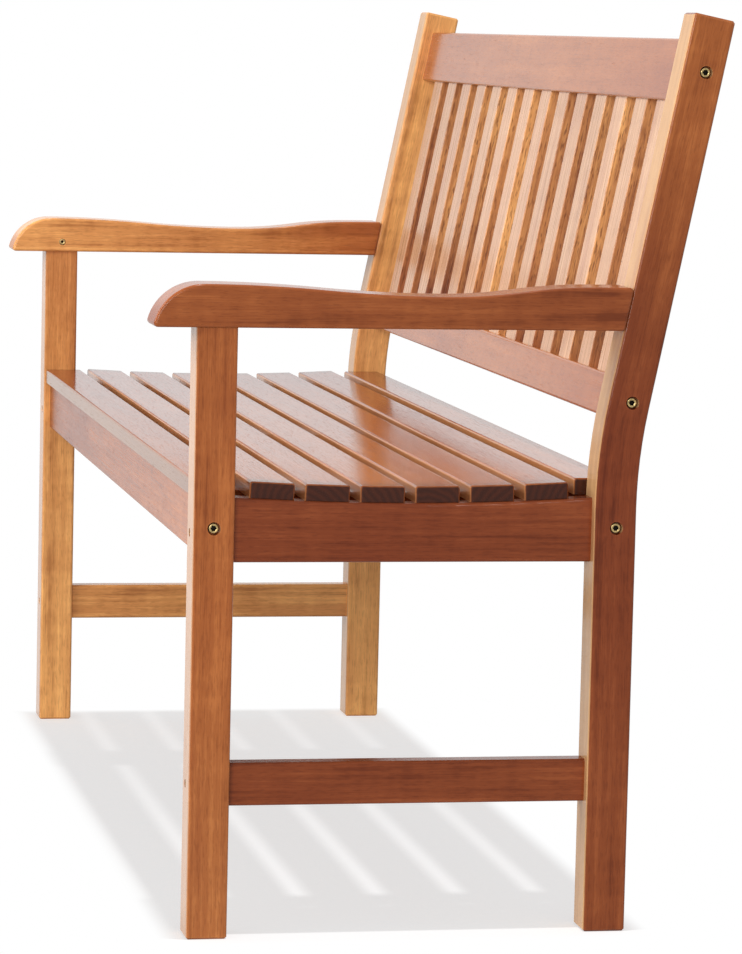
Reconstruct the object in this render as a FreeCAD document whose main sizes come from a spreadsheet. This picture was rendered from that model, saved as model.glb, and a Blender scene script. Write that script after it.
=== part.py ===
import FreeCAD, Part
import os
import re
import Sketcher

# Outdoor bench for two, made of solid hardwood.
# Two side frames carry four cross rails, a dished seat of slats and a raked slatted back.
# X runs along the bench, -Y is the front, Z is up, and the floor is Z = 0.
# Every Y in the formulas below is measured back from the front face of the front legs.

Vector = FreeCAD.Vector
X_AXIS = Vector(1, 0, 0)
Y_AXIS = Vector(0, 1, 0)
Z_AXIS = Vector(0, 0, 1)
TINY = 1e-6

DIMENSIONS = [
    # Whole frame
    ("frame_length", 1300, "outer face to outer face of the legs"),
    ("overall_height", 900, "floor to the top front corner of the rear posts"),
    ("base_depth", 436, "front of the front legs to the back of the rear posts at the floor"),
    ("round_over", 3, "radius worked along the edges of the timber"),
    ("foot_chamfer", 2, "chamfer round the ends of legs and posts"),
    ("joint_fit", 0.15, "clearance all round a tenon or a drilled fit"),
    # Legs and posts
    ("leg_width", 40, "legs and posts along X"),
    ("leg_depth", 40, "front legs along Y"),
    ("post_depth", 42, "rear posts square to their length"),
    ("rake", 11.2, "lean of the back in degrees"),
    ("bend_start", 418, "height where the posts begin to lean"),
    ("bend_radius", 500, "radius of the bend on the back face of the posts"),
    # Armrests
    ("arm_underside", 592, "height of the underside of the arms"),
    ("arm_width", 50, "arms along X"),
    ("arm_overhang", 42, "reach of the arms ahead of the front legs"),
    ("arm_crest_height", 41.5, "arm height over the front leg"),
    ("arm_waist_height", 31.5, "arm height at its thinnest"),
    ("arm_end_height", 42, "arm height at the post"),
    ("arm_nose_angle", 80, "slope of the nose where it meets the underside, in degrees"),
    ("arm_corner_round", 4, "radius at the foot of the nose and at the rear corners"),
    ("arm_level_run", 37.25, "level stretch of the arm ahead of the post"),
    ("arm_rise_run", 146, "rise of the arm from its waist to the level stretch"),
    ("arm_round_over", 3, "radius along the edges of the arms"),
    ("arm_tenon_width", 24, "tenon on the front leg, both ways"),
    ("arm_tenon_length", 25, "tenon of the front leg into the arm"),
    # Side rails and stretchers
    ("side_rail_inset", 12, "side rail behind the outer face of the leg"),
    ("side_rail_thickness", 24, "side rail along X"),
    ("side_rail_bottom", 365, "underside of the side rail"),
    ("seat_rail_top", 428, "top of the seat rails at the legs"),
    ("seat_dish", 5.6, "hollow of the seat between the legs"),
    ("stretcher_inset", 12, "stretcher behind the outer face of the leg"),
    ("stretcher_thickness", 22, "stretcher along X"),
    ("stretcher_bottom", 128, "underside of the stretcher"),
    ("stretcher_height", 42, "height of the stretcher"),
    ("tenon_thickness", 12, "tenons of rails and stretchers along X"),
    ("tenon_length", 14, "tenons of rails and stretchers into the legs"),
    ("tenon_shoulder", 9, "shoulder above and below those tenons"),
    # Cross rails under the seat
    ("cross_rail_height", 57.5, "front and rear rail"),
    ("cross_rail_thickness", 24, "front and rear rail"),
    ("front_rail_setback", 8, "front rail behind the front of the legs"),
    ("rear_rail_setback", 10, "rear rail behind the front of the posts"),
    ("bearer_width", 30, "centre bearer along X"),
    ("bearer_height", 46, "bearers at their ends"),
    ("bearer_step", 1, "drop of the bearers under the first and last slat"),
    ("end_bearer_width", 22, "end bearers along X"),
    ("end_bearer_gap", 43, "end bearers to the inner faces of legs and posts"),
    # Seat slats
    ("slat_width", 44, "seat slat along Y"),
    ("slat_thickness", 16, "seat slat"),
    ("first_slat_setback", 2, "first slat behind the front of the legs"),
    ("last_slat_setback", 1.9, "last slat ahead of the back of the rear rail"),
    ("slat_end_inset", 17, "slat ends behind the outer face of the legs"),
    ("slat_end_gap", 0.5, "ends of the first and last slat to the legs"),
    ("slat_round_over", 2.5, "radius round the top and the corners of the seat slats"),
    ("slat_seat_gap", 0.05, "slat underside to the dished rail"),
    # Back
    ("back_rail_setback", 13, "back rails behind the front of the posts"),
    ("back_rail_thickness", 22, "back rails"),
    ("top_rail_drop", 23, "top of the posts to the top rail"),
    ("top_rail_height", 62, "top rail"),
    ("bottom_rail_gap", 75.3, "seat rails up to the lower front edge of the bottom rail"),
    ("bottom_rail_height", 42, "bottom rail"),
    ("back_slat_width", 44.5, "back slat along X"),
    ("back_slat_thickness", 12, "back slat"),
    ("back_slat_end_gap", 51.5, "posts to the first and last back slat"),
    ("back_slat_housing", 10, "back slat let into each rail"),
    ("back_slat_round_over", 1.5, "radius along the back slats"),
    # Knock-down bolts and their barrel nuts
    ("bolt_diameter", 6, "frame bolt"),
    ("bolt_length", 70, "frame bolt under its head"),
    ("bolt_head_diameter", 10, "head of the frame bolt"),
    ("bolt_head_height", 6, "head of the frame bolt"),
    ("bolt_socket", 5, "hex socket across its flats"),
    ("bolt_socket_depth", 3, "hex socket"),
    ("bolt_recess", 2.5, "head below the outer face of the leg"),
    ("bolt_counterbore", 12.8, "counterbore in the leg"),
    ("bolt_clearance", 0.3, "hole round the bolt, on the radius"),
    ("bolt_tip_room", 2, "bore beyond the tip of the bolt"),
    ("nut_diameter", 10, "barrel nut"),
    ("nut_length", 18, "barrel nut"),
    ("nut_setback", 30, "barrel nut from the end of the rail"),
    ("thread_gap", 0.1, "bolt to the thread of the barrel nut, on the radius"),
    # Dowels
    ("dowel_diameter", 8, "frame dowels"),
    ("dowel_depth", 14, "frame dowel into each piece"),
    ("dowel_end_room", 0.5, "hole beyond the end of a dowel"),
    ("seat_dowel_spread", 16, "dowels above and below the bolt of a seat rail"),
    ("top_dowel_spread", 20, "dowels above and below the bolt of the top rail"),
    ("bottom_dowel_spread", 13, "dowels above and below the bolt of the bottom rail"),
    ("bearer_dowel_spread", 10, "dowels of the bearer above and below its middle"),
    ("bearer_dowel_depth", 12, "bearer dowel into each piece"),
    ("arm_dowel_spread", 11, "arm dowels either side of the middle of the post"),
    ("arm_dowel_height", 21, "arm dowels above the underside of the arm"),
    ("slat_dowel_diameter", 6, "seat slat dowels"),
    ("slat_dowel_up", 9, "seat slat dowel into the slat"),
    ("slat_dowel_down", 11, "seat slat dowel into the rail"),
    ("slat_dowel_end", 190, "legs to the outer dowels of the first and last slat"),
    # Screws
    ("screw_diameter", 4, "leg and arm screws"),
    ("screw_head_diameter", 8, "head of the screws"),
    ("screw_head_height", 3, "head of the screws"),
    ("screw_socket", 3, "hex socket across its flats"),
    ("screw_socket_depth", 2, "hex socket"),
    ("screw_recess", 0.5, "screw head below the face"),
    ("leg_screw_length", 48, "leg screw under its head"),
    ("leg_screw_height", 393, "leg screw into the side rail, above the floor"),
    ("arm_screw_length", 27, "arm screw under its head"),
    ("arm_screw_height", 12, "arm screw above the underside of the arm"),
    # Cutting tools
    ("overshoot", 1, "cuts run this far past a face"),
]

SEAT_SLATS = 8
BACK_SLATS = 14

doc = FreeCAD.newDocument("Bench")
sheet = doc.addObject("Spreadsheet::Sheet", "Dims")
for row, (alias, number, note) in enumerate(DIMENSIONS, start=1):
    sheet.set("A%d" % row, str(number))
    sheet.setAlias("A%d" % row, alias)
    sheet.set("B%d" % row, note)
doc.recompute()

ALIASES = {alias for alias, number, note in DIMENSIONS}

# Formulas shared by several pieces
HALF_LENGTH = "(frame_length / 2)"
LEG_X = "(frame_length / 2 - leg_width / 2)"
INNER_X = "(frame_length / 2 - leg_width)"
SIDE_RAIL_X = "(frame_length / 2 - side_rail_inset - side_rail_thickness / 2)"
STRETCHER_X = "(frame_length / 2 - stretcher_inset - stretcher_thickness / 2)"
CLEAR_LENGTH = "(frame_length - 2 * leg_width)"
END_BEARER_X = "(%s - end_bearer_gap - end_bearer_width / 2)" % INNER_X
POST_FRONT = "(base_depth - post_depth)"

# Rear post: concentric arcs lead from the upright part into the raked part
FRONT_RADIUS = "(bend_radius + post_depth)"
BEND_Y = "(base_depth + bend_radius)"
BEND_TOP_Y = "(%s - %s * cos(rake))" % (BEND_Y, FRONT_RADIUS)
BEND_TOP_Z = "(bend_start + %s * sin(rake))" % FRONT_RADIUS
TOP_Y = "(%s + (overall_height - %s) * tan(rake))" % (BEND_TOP_Y, BEND_TOP_Z)
TOP_BACK_Y = "(%s + post_depth * cos(rake) - foot_chamfer * sin(rake))" % TOP_Y

# The bench is centred on its depth, from the arm tips to the top of the posts
FRONT_Y = "((arm_overhang - %s) / 2)" % TOP_BACK_Y

# Seat: one arc dishes the side rails and the bearers
SEAT_HALF = "((%s - leg_depth) / 2)" % POST_FRONT
SEAT_MIDDLE = "((%s + leg_depth) / 2)" % POST_FRONT
DISH_RADIUS = "((%s ^ 2 + seat_dish ^ 2) / (2 * seat_dish))" % SEAT_HALF
DISH_Z = "(seat_rail_top - seat_dish + %s)" % DISH_RADIUS
FRONT_RAIL_Y = "(front_rail_setback + cross_rail_thickness / 2)"
REAR_RAIL_Y = "(%s + rear_rail_setback + cross_rail_thickness / 2)" % POST_FRONT
FIRST_SLAT_BACK = "(first_slat_setback + slat_width)"
LAST_SLAT_FRONT = "(%s + cross_rail_thickness / 2 - last_slat_setback - slat_width)" % REAR_RAIL_Y
SLAT_PITCH = "((%s - first_slat_setback) / %d)" % (LAST_SLAT_FRONT, SEAT_SLATS - 1)
CROSS_RAIL_Z = "(seat_rail_top - cross_rail_height / 2)"
BEARER_Z = "(seat_rail_top - bearer_step - bearer_height / 2)"
STRETCHER_Z = "(stretcher_bottom + stretcher_height / 2)"
BACK_RAIL_MIDDLE = "(back_rail_setback + back_rail_thickness / 2)"
BOTTOM_RAIL_LOW = "(overall_height - seat_rail_top - bottom_rail_gap - back_rail_setback * sin(rake))"
BOTTOM_RAIL_TOP = "(%s / cos(rake) - bottom_rail_height)" % BOTTOM_RAIL_LOW


def cells(formula):
    """Turn the sheet's names in a formula into references to its cells."""
    return re.sub("[a-z_]+", lambda m: ("Dims." if m.group() in ALIASES else "") + m.group(), formula)


def value(formula):
    """Number that a formula gives with the sheet's present sizes."""
    return float(sheet.evalExpression(cells(formula)))


def bind(piece, prop, formula):
    piece.setExpression(prop, cells(formula))


def place(piece, x, y, z, rotation=FreeCAD.Rotation()):
    """Put a piece at X, at Y behind the front of the legs and at Z above the floor."""
    piece.Placement = FreeCAD.Placement(Vector(0, 0, 0), rotation)
    bind(piece, "Placement.Base.x", x)
    bind(piece, "Placement.Base.y", "%s + %s" % (FRONT_Y, y))
    bind(piece, "Placement.Base.z", z)


def raked_point(depth, drop):
    """Y and Z of a point behind the front face of the posts and below their top."""
    y = "(%s + %s * cos(rake) - %s * sin(rake))" % (TOP_Y, depth, drop)
    z = "(overall_height - %s * sin(rake) - %s * cos(rake))" % (depth, drop)
    return y, z


def raked_turn():
    return FreeCAD.Rotation(X_AXIS, -value("rake"))


def post_front_at(z):
    """Y of the raked front face of the posts at a height."""
    return "(%s - (overall_height - %s) * tan(rake))" % (TOP_Y, z)


def new_body(label, x="0", y="0", z="0", rotation=FreeCAD.Rotation()):
    body = doc.addObject("PartDesign::Body", label)
    body.Label = label
    place(body, x, y, z, rotation)
    return body


def outline(body, corners, arcs):
    """Closed outline in the body's YZ plane, every corner set by a pair of formulas.

    arcs gives, for the corner where an arc begins, its radius and the Y and Z of its centre.
    """
    sketch = body.newObject("Sketcher::SketchObject", body.Label + "_outline")
    plane = [feature for feature in body.Origin.OriginFeatures if feature.Role == "YZ_Plane"][0]
    sketch.AttachmentSupport = [(plane, "")]
    sketch.MapMode = "FlatFace"
    points = [Vector(value(y), value(z), 0) for y, z in corners]
    ends = []
    for i, start in enumerate(points):
        stop = points[(i + 1) % len(points)]
        curve = Part.LineSegment(start, stop)
        if i in arcs:
            radius, y, z = arcs[i]
            centre = Vector(value(y), value(z), 0)
            outward = (start + stop) * 0.5 - centre
            curve = Part.Arc(start, centre + outward * (value(radius) / outward.Length), stop)
        index = sketch.addGeometry(curve)
        first = 1 if sketch.getPoint(index, 1).isEqual(start, TINY) else 2
        ends.append((index, first, 3 - first))
    for i, (index, first, last) in enumerate(ends):
        following, begins, _ = ends[(i + 1) % len(ends)]
        sketch.addConstraint(Sketcher.Constraint("Coincident", index, last, following, begins))
    for i, (index, first, last) in enumerate(ends):
        for kind, axis, formula in (("DistanceX", -2, corners[i][0]), ("DistanceY", -1, corners[i][1])):
            if formula == "0":
                sketch.addConstraint(Sketcher.Constraint("PointOnObject", index, first, axis))
            else:
                limit = Sketcher.Constraint(kind, -1, 1, index, first, value(formula))
                number = sketch.addConstraint(limit)
                bind(sketch, "Constraints[%d]" % number, formula)
        if i in arcs:
            number = sketch.addConstraint(Sketcher.Constraint("Radius", index, value(arcs[i][0])))
            bind(sketch, "Constraints[%d]" % number, arcs[i][0])
    return sketch


def pad(body, corners, width, arcs={}):
    """Outline padded by the same amount to both sides of the body's YZ plane."""
    feature = body.newObject("PartDesign::Pad", body.Label + "_pad")
    feature.Profile = outline(body, corners, arcs)
    feature.SideType = "Symmetric"
    bind(feature, "Length", width)
    doc.recompute()
    return feature


def rectangle(y_low, z_low, y_high, z_high):
    return [(y_low, z_low), (y_high, z_low), (y_high, z_high), (y_low, z_high)]


def work_edges(body, kind, prop, size, keep):
    """Round or chamfer those edges of a body that the test keeps."""
    base = body.Tip
    names = ["Edge%d" % (i + 1) for i, edge in enumerate(base.Shape.Edges) if keep(edge.BoundBox)]
    feature = body.newObject("PartDesign::" + kind, body.Label + "_" + kind.lower())
    feature.Base = (base, names)
    bind(feature, prop, size)
    doc.recompute()


def round_edges(body, radius, keep):
    work_edges(body, "Fillet", "Radius", radius, keep)


def chamfer_edges(body, size, keep):
    work_edges(body, "Chamfer", "Size", size, keep)


def along_x(box):
    return box.XLength > TINY


def on_side(box):
    return box.XLength < TINY


def upright_on_side(box):
    return on_side(box) and box.ZLength > value("post_depth")


def lengthwise_on_side(box):
    return on_side(box) and box.YLength > value("post_depth")


def drill(diameter, length, x, y, z, direction):
    """Cylinder that starts at a point and runs along a direction."""
    tool = doc.addObject("Part::Cylinder", "drill")
    bind(tool, "Radius", "(%s) / 2" % diameter)
    bind(tool, "Height", length)
    place(tool, x, y, z, FreeCAD.Rotation(Z_AXIS, direction))
    return tool


def block(size, x, y, z, rotation=FreeCAD.Rotation()):
    """Box that starts at a corner and runs along +X, +Y and +Z before it is turned."""
    tool = doc.addObject("Part::Box", "block")
    for prop, formula in zip(("Length", "Width", "Height"), size):
        bind(tool, prop, formula)
    place(tool, x, y, z, rotation)
    return tool


def cut(label, blank, tools):
    """Piece left of a blank when all the tools have been cut away."""
    waste = tools[0]
    if len(tools) > 1:
        waste = doc.addObject("Part::MultiFuse", label + "_waste")
        waste.Shapes = tools
    piece = doc.addObject("Part::Cut", label)
    piece.Base = blank
    piece.Tool = waste
    piece.Label = label
    return piece


def mirror(label, source):
    """Same piece for the other end of the bench."""
    piece = doc.addObject("Part::Mirroring", label)
    piece.Source = source
    piece.Normal = X_AXIS
    piece.Label = label
    return piece


def copies(label, master, places):
    """Group of separate copies of one fastener."""
    doc.recompute()
    solids = []
    for x, y, z, direction in places:
        solid = master.Shape.copy()
        spot = Vector(value(x), value("%s + %s" % (FRONT_Y, y)), value(z))
        solid.Placement = FreeCAD.Placement(spot, FreeCAD.Rotation(Z_AXIS, direction))
        solids.append(solid)
    group = doc.addObject("Part::Feature", label)
    group.Shape = Part.makeCompound(solids)
    group.Label = label
    return group


def both_ends(x):
    """A place on the left end of the bench, the way out from the middle there, and its mirror image."""
    return ((x, X_AXIS), ("-" + x, -X_AXIS))


# Cross rails: each is held at both ends by one bolt into a barrel nut and by two dowels
def upright_spread(y, spread):
    return [(y, "(%s + %s)" % (CROSS_RAIL_Z, spread)), (y, "(%s - %s)" % (CROSS_RAIL_Z, spread))]


def raked_spread(drop, spread):
    return [raked_point(BACK_RAIL_MIDDLE, "(%s %s %s)" % (drop, sign, spread)) for sign in "+-"]


RAKED_BACK = raked_turn().multVec(Y_AXIS)
TOP_RAIL_DROP = "(top_rail_drop + top_rail_height / 2)"
BOTTOM_RAIL_DROP = "(%s + bottom_rail_height / 2)" % BOTTOM_RAIL_TOP

# Name of the rail, place of its bolt, places of its dowels, way in for the barrel nut, its thickness
RAIL_JOINTS = {
    "front_rail": ((FRONT_RAIL_Y, CROSS_RAIL_Z), upright_spread(FRONT_RAIL_Y, "seat_dowel_spread"),
                   -Y_AXIS, "cross_rail_thickness"),
    "rear_rail": ((REAR_RAIL_Y, CROSS_RAIL_Z), upright_spread(REAR_RAIL_Y, "seat_dowel_spread"),
                  Y_AXIS, "cross_rail_thickness"),
    "back_top_rail": (raked_point(BACK_RAIL_MIDDLE, TOP_RAIL_DROP),
                      raked_spread(TOP_RAIL_DROP, "top_dowel_spread"),
                      -RAKED_BACK, "back_rail_thickness"),
    "back_bottom_rail": (raked_point(BACK_RAIL_MIDDLE, BOTTOM_RAIL_DROP),
                         raked_spread(BOTTOM_RAIL_DROP, "bottom_dowel_spread"),
                         -RAKED_BACK, "back_rail_thickness"),
}

BOLT_SEAT_X = "(frame_length / 2 - bolt_recess - bolt_head_height)"
NUT_X = "(%s - nut_setback)" % INNER_X
BOLT_HOLE = "bolt_diameter + 2 * bolt_clearance"
DOWEL_HOLE = "dowel_diameter + 2 * joint_fit"
DOWEL_DRILLING = "(dowel_depth + dowel_end_room + overshoot)"


def offset_point(y, z, way, distance):
    """Y and Z of a point moved along a way in the YZ plane."""
    return "(%s + %r * %s)" % (y, way.y, distance), "(%s + %r * %s)" % (z, way.z, distance)


def post_drilling(rail):
    """Holes for one rail in the leg or post at the left end."""
    (y, z), dowels, _, _ = RAIL_JOINTS[rail]
    outside = "(%s + overshoot)" % HALF_LENGTH
    tools = [
        drill("bolt_counterbore", "bolt_recess + bolt_head_height + overshoot", outside, y, z, -X_AXIS),
        drill(BOLT_HOLE, "leg_width + 2 * overshoot", outside, y, z, -X_AXIS),
    ]
    for dowel_y, dowel_z in dowels:
        inside = "(%s - overshoot)" % INNER_X
        tools.append(drill(DOWEL_HOLE, DOWEL_DRILLING, inside, dowel_y, dowel_z, X_AXIS))
    return tools


def rail_drilling(rail):
    """Holes in both ends of a cross rail for its bolts, barrel nuts and dowels."""
    (y, z), dowels, way_in, thickness = RAIL_JOINTS[rail]
    bore = "(bolt_length - leg_width + bolt_recess + bolt_head_height + bolt_tip_room + overshoot)"
    mouth_y, mouth_z = offset_point(y, z, way_in, "(-%s / 2 - overshoot)" % thickness)
    nut_depth = "%s / 2 + nut_length / 2 + joint_fit + overshoot" % thickness
    tools = []
    for x, outward in both_ends(INNER_X):
        end = "(%s + %g * overshoot)" % (x, outward.x)
        tools.append(drill(BOLT_HOLE, bore, end, y, z, -outward))
        for dowel_y, dowel_z in dowels:
            tools.append(drill(DOWEL_HOLE, DOWEL_DRILLING, end, dowel_y, dowel_z, -outward))
    for x, outward in both_ends(NUT_X):
        tools.append(drill("nut_diameter + 2 * joint_fit", nut_depth, x, mouth_y, mouth_z, way_in))
    return tools


# Screws through the front legs pin the tenons of the side rails and stretchers
LEG_SCREWS = [(SIDE_RAIL_X, "leg_screw_height"), (STRETCHER_X, STRETCHER_Z)]
SCREW_HOLE = "screw_diameter + 2 * joint_fit"
SCREW_SINK = "(screw_recess + screw_head_height)"
SCREW_COUNTERBORE = "screw_head_diameter + 2 * joint_fit"


def leg_screw_hole(x, z):
    length = "leg_screw_length + %s + dowel_end_room" % SCREW_SINK
    return drill(SCREW_HOLE, length, x, "0", z, Y_AXIS)


# Tenons of the side rails and stretchers, and their mortises
def tenon_height(low, high):
    return "(%s - %s - 2 * tenon_shoulder)" % (high, low)


def mortise(x, low, high, y_low):
    """Mortise for a tenon between two heights; Y is where the hollow begins."""
    size = ("tenon_thickness + 2 * joint_fit",
            "tenon_length + joint_fit + overshoot",
            "%s + 2 * joint_fit" % tenon_height(low, high))
    corner_x = "(%s - tenon_thickness / 2 - joint_fit)" % x
    return block(size, corner_x, y_low, "(%s + tenon_shoulder - joint_fit)" % low)


SIDE_RAIL = (SIDE_RAIL_X, "side_rail_bottom", "seat_rail_top")
STRETCHER_TOP = "(stretcher_bottom + stretcher_height)"
STRETCHER = (STRETCHER_X, "stretcher_bottom", STRETCHER_TOP)


def add_tenons(body, low, high):
    """Tenons on both ends of a side piece that runs from the front leg to the rear post."""
    for y_low, y_high in (("(leg_depth - tenon_length)", "(leg_depth + tenon_length)"),
                          ("(%s - tenon_length)" % POST_FRONT, "(%s + tenon_length)" % POST_FRONT)):
        corners = rectangle(y_low, "(%s + tenon_shoulder)" % low, y_high, "(%s - tenon_shoulder)" % high)
        pad(body, corners, "tenon_thickness")


def make_front_leg():
    body = new_body("front_leg_blank", x=LEG_X)
    pad(body, rectangle("0", "0", "leg_depth", "arm_underside"), "leg_width")
    round_edges(body, "round_over", upright_on_side)
    chamfer_edges(body, "foot_chamfer", lambda box: box.ZMax < TINY)
    tenon_front = "(leg_depth / 2 - arm_tenon_width / 2)"
    tenon_back = "(leg_depth / 2 + arm_tenon_width / 2)"
    tenon_root = "(arm_underside - arm_tenon_length)"
    tenon_tip = "(arm_underside + arm_tenon_length)"
    pad(body, rectangle(tenon_front, tenon_root, tenon_back, tenon_tip), "arm_tenon_width")
    hollow = "(leg_depth - tenon_length - joint_fit)"
    tools = post_drilling("front_rail") + [mortise(*SIDE_RAIL, hollow), mortise(*STRETCHER, hollow)]
    for x, z in LEG_SCREWS:
        tools.append(leg_screw_hole(x, z))
        tools.append(drill(SCREW_COUNTERBORE, "%s + overshoot" % SCREW_SINK, x, "(-overshoot)", z, Y_AXIS))
    tools.append(arm_screw_hole())
    return cut("front_leg_left", body, tools)


def make_rear_post():
    body = new_body("rear_post_blank", x=LEG_X)
    bend_top_back = raked_point("post_depth", "((overall_height - %s) / cos(rake))" % BEND_TOP_Z)
    corners = [
        (POST_FRONT, "0"), ("base_depth", "0"), ("base_depth", "bend_start"), bend_top_back,
        raked_point("post_depth", "0"), (TOP_Y, "overall_height"), (BEND_TOP_Y, BEND_TOP_Z),
        (POST_FRONT, "bend_start"),
    ]
    arcs = {2: ("bend_radius", BEND_Y, "bend_start"), 6: (FRONT_RADIUS, BEND_Y, "bend_start")}
    pad(body, corners, "leg_width", arcs)
    round_edges(body, "round_over", upright_on_side)
    top_back = value(raked_point("post_depth", "0")[1])
    chamfer_edges(body, "foot_chamfer", lambda box: box.ZMax < TINY or box.ZMin > top_back - TINY)
    hollow = "(%s - overshoot)" % POST_FRONT
    tools = [mortise(*SIDE_RAIL, hollow), mortise(*STRETCHER, hollow)]
    for rail in ("rear_rail", "back_top_rail", "back_bottom_rail"):
        tools += post_drilling(rail)
    for x, y, z in arm_dowel_places():
        tools.append(drill(DOWEL_HOLE, DOWEL_DRILLING, x, "(%s - overshoot)" % y, z, Y_AXIS))
    return cut("rear_post_left", body, tools)


# Armrest
ARM_DOWEL_Z = "(arm_underside + arm_dowel_height)"
ARM_SCREW_Z = "(arm_underside + arm_screw_height)"
ARM_INNER_X = "(%s - arm_width / 2)" % LEG_X


def arm_dowel_places():
    y = post_front_at(ARM_DOWEL_Z)
    return [("(%s %s arm_dowel_spread)" % (LEG_X, sign), y, ARM_DOWEL_Z) for sign in "+-"]


def arm_screw_hole():
    length = "arm_screw_length + %s + dowel_end_room" % SCREW_SINK
    return drill(SCREW_HOLE, length, ARM_INNER_X, "leg_depth / 2", ARM_SCREW_Z, X_AXIS)


def wave_radius(run, rise):
    """Radius of the two equal arcs of a level to level wave of a given run and rise."""
    return "((%s ^ 2 + %s ^ 2) / (4 * %s))" % (run, rise, rise)


def make_armrest():
    body = new_body("armrest_blank", x=LEG_X)
    crest = "(arm_underside + arm_crest_height)"
    waist = "(arm_underside + arm_waist_height)"
    end = "(arm_underside + arm_end_height)"
    nose_radius = "(arm_crest_height / (1 - cos(arm_nose_angle)))"
    nose_foot = "(-arm_overhang - arm_corner_round * (1 / tan(arm_nose_angle / 2) - 1))"
    crest_place = "(%s + %s * sin(arm_nose_angle))" % (nose_foot, nose_radius)
    rise_place = "(%s - arm_level_run)" % post_front_at(end)
    waist_place = "(%s - arm_rise_run)" % rise_place
    fall_run = "(%s - %s)" % (waist_place, crest_place)
    fall_radius = wave_radius(fall_run, "(arm_crest_height - arm_waist_height)")
    rise_radius = wave_radius("arm_rise_run", "(arm_end_height - arm_waist_height)")
    fall_middle = ("((%s + %s) / 2)" % (crest_place, waist_place), "((%s + %s) / 2)" % (crest, waist))
    rise_middle = ("((%s + %s) / 2)" % (waist_place, rise_place), "((%s + %s) / 2)" % (waist, end))
    corners = [
        (nose_foot, "arm_underside"), (post_front_at("arm_underside"), "arm_underside"),
        (post_front_at(end), end), (rise_place, end), rise_middle, (waist_place, waist),
        fall_middle, (crest_place, crest),
    ]
    arcs = {
        3: (rise_radius, rise_place, "(%s - %s)" % (end, rise_radius)),
        4: (rise_radius, waist_place, "(%s + %s)" % (waist, rise_radius)),
        5: (fall_radius, waist_place, "(%s + %s)" % (waist, fall_radius)),
        6: (fall_radius, crest_place, "(%s - %s)" % (crest, fall_radius)),
        7: (nose_radius, crest_place, "(%s - %s)" % (crest, nose_radius)),
    }
    pad(body, corners, "arm_width", arcs)
    level = value("arm_underside")
    full_height = value(rise_place)
    sharp_corner = lambda box: along_x(box) and (box.ZMax < level + TINY or box.YMin > full_height + TINY)
    round_edges(body, "arm_corner_round", sharp_corner)
    round_edges(body, "arm_round_over", on_side)
    hollow = "arm_tenon_width + 2 * joint_fit"
    mortise_x = "(%s - arm_tenon_width / 2 - joint_fit)" % LEG_X
    mortise_y = "(leg_depth / 2 - arm_tenon_width / 2 - joint_fit)"
    mortise_depth = "arm_tenon_length + joint_fit + overshoot"
    tools = [
        block((hollow, hollow, mortise_depth), mortise_x, mortise_y, "(arm_underside - overshoot)"),
        drill(SCREW_COUNTERBORE, "%s + overshoot" % SCREW_SINK,
              "(%s - overshoot)" % ARM_INNER_X, "leg_depth / 2", ARM_SCREW_Z, X_AXIS),
        arm_screw_hole(),
    ]
    for x, y, z in arm_dowel_places():
        tools.append(drill(DOWEL_HOLE, DOWEL_DRILLING, x, "(%s + overshoot)" % y, z, -Y_AXIS))
    return cut("armrest_left", body, tools)


# Seat slats on the dish: the slats in between lean with the arc, the first and last lie level
def slat_middle(number):
    return "(first_slat_setback + slat_width / 2 + %d * %s)" % (number - 1, SLAT_PITCH)


def slat_seat(number):
    """Lean of a slat in degrees, and Y and Z of the middle of its underside."""
    if number in (1, SEAT_SLATS):
        return "0", slat_middle(number), "seat_rail_top"
    lean = "asin((%s - %s) / %s)" % (slat_middle(number), SEAT_MIDDLE, DISH_RADIUS)
    reach = "(sqrt(%s ^ 2 - (slat_width / 2) ^ 2) - slat_seat_gap)" % DISH_RADIUS
    y = "(%s + %s * sin(%s))" % (SEAT_MIDDLE, reach, lean)
    z = "(%s - %s * cos(%s))" % (DISH_Z, reach, lean)
    return lean, y, z


def slat_up(number):
    """Direction square to the top of a slat."""
    return FreeCAD.Rotation(X_AXIS, value(slat_seat(number)[0])).multVec(Z_AXIS)


# The first and last slat have four dowels, evenly spread
SLAT_DOWEL_OUTER = "(%s / 2 - slat_dowel_end)" % CLEAR_LENGTH
SLAT_DOWEL_SPREAD = ["(%s * %s)" % (place, SLAT_DOWEL_OUTER) for place in ("1", "1 / 3", "-1 / 3", "-1")]


def slat_dowel_places(number):
    """X, Y and Z where the dowels of a slat cross its underside."""
    lean, y, z = slat_seat(number)
    rails = {1: FRONT_RAIL_Y, SEAT_SLATS: REAR_RAIL_Y}
    if number in rails:
        return [(x, rails[number], z) for x in SLAT_DOWEL_SPREAD]
    return [(x, y, z) for x in (END_BEARER_X, "0", "-" + END_BEARER_X)]


SLAT_DOWEL_HOLE = "slat_dowel_diameter + 2 * joint_fit"


def slat_dowel_holes(number, up):
    """Holes for the dowels of a slat: up into the slat, or down into what carries it."""
    depth = "slat_dowel_up" if up else "slat_dowel_down"
    way = slat_up(number) if up else -slat_up(number)
    tools = []
    for x, y, z in slat_dowel_places(number):
        start_y, start_z = offset_point(y, z, way, "(-overshoot)")
        length = "%s + dowel_end_room + overshoot" % depth
        tools.append(drill(SLAT_DOWEL_HOLE, length, x, start_y, start_z, way))
    return tools


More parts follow.
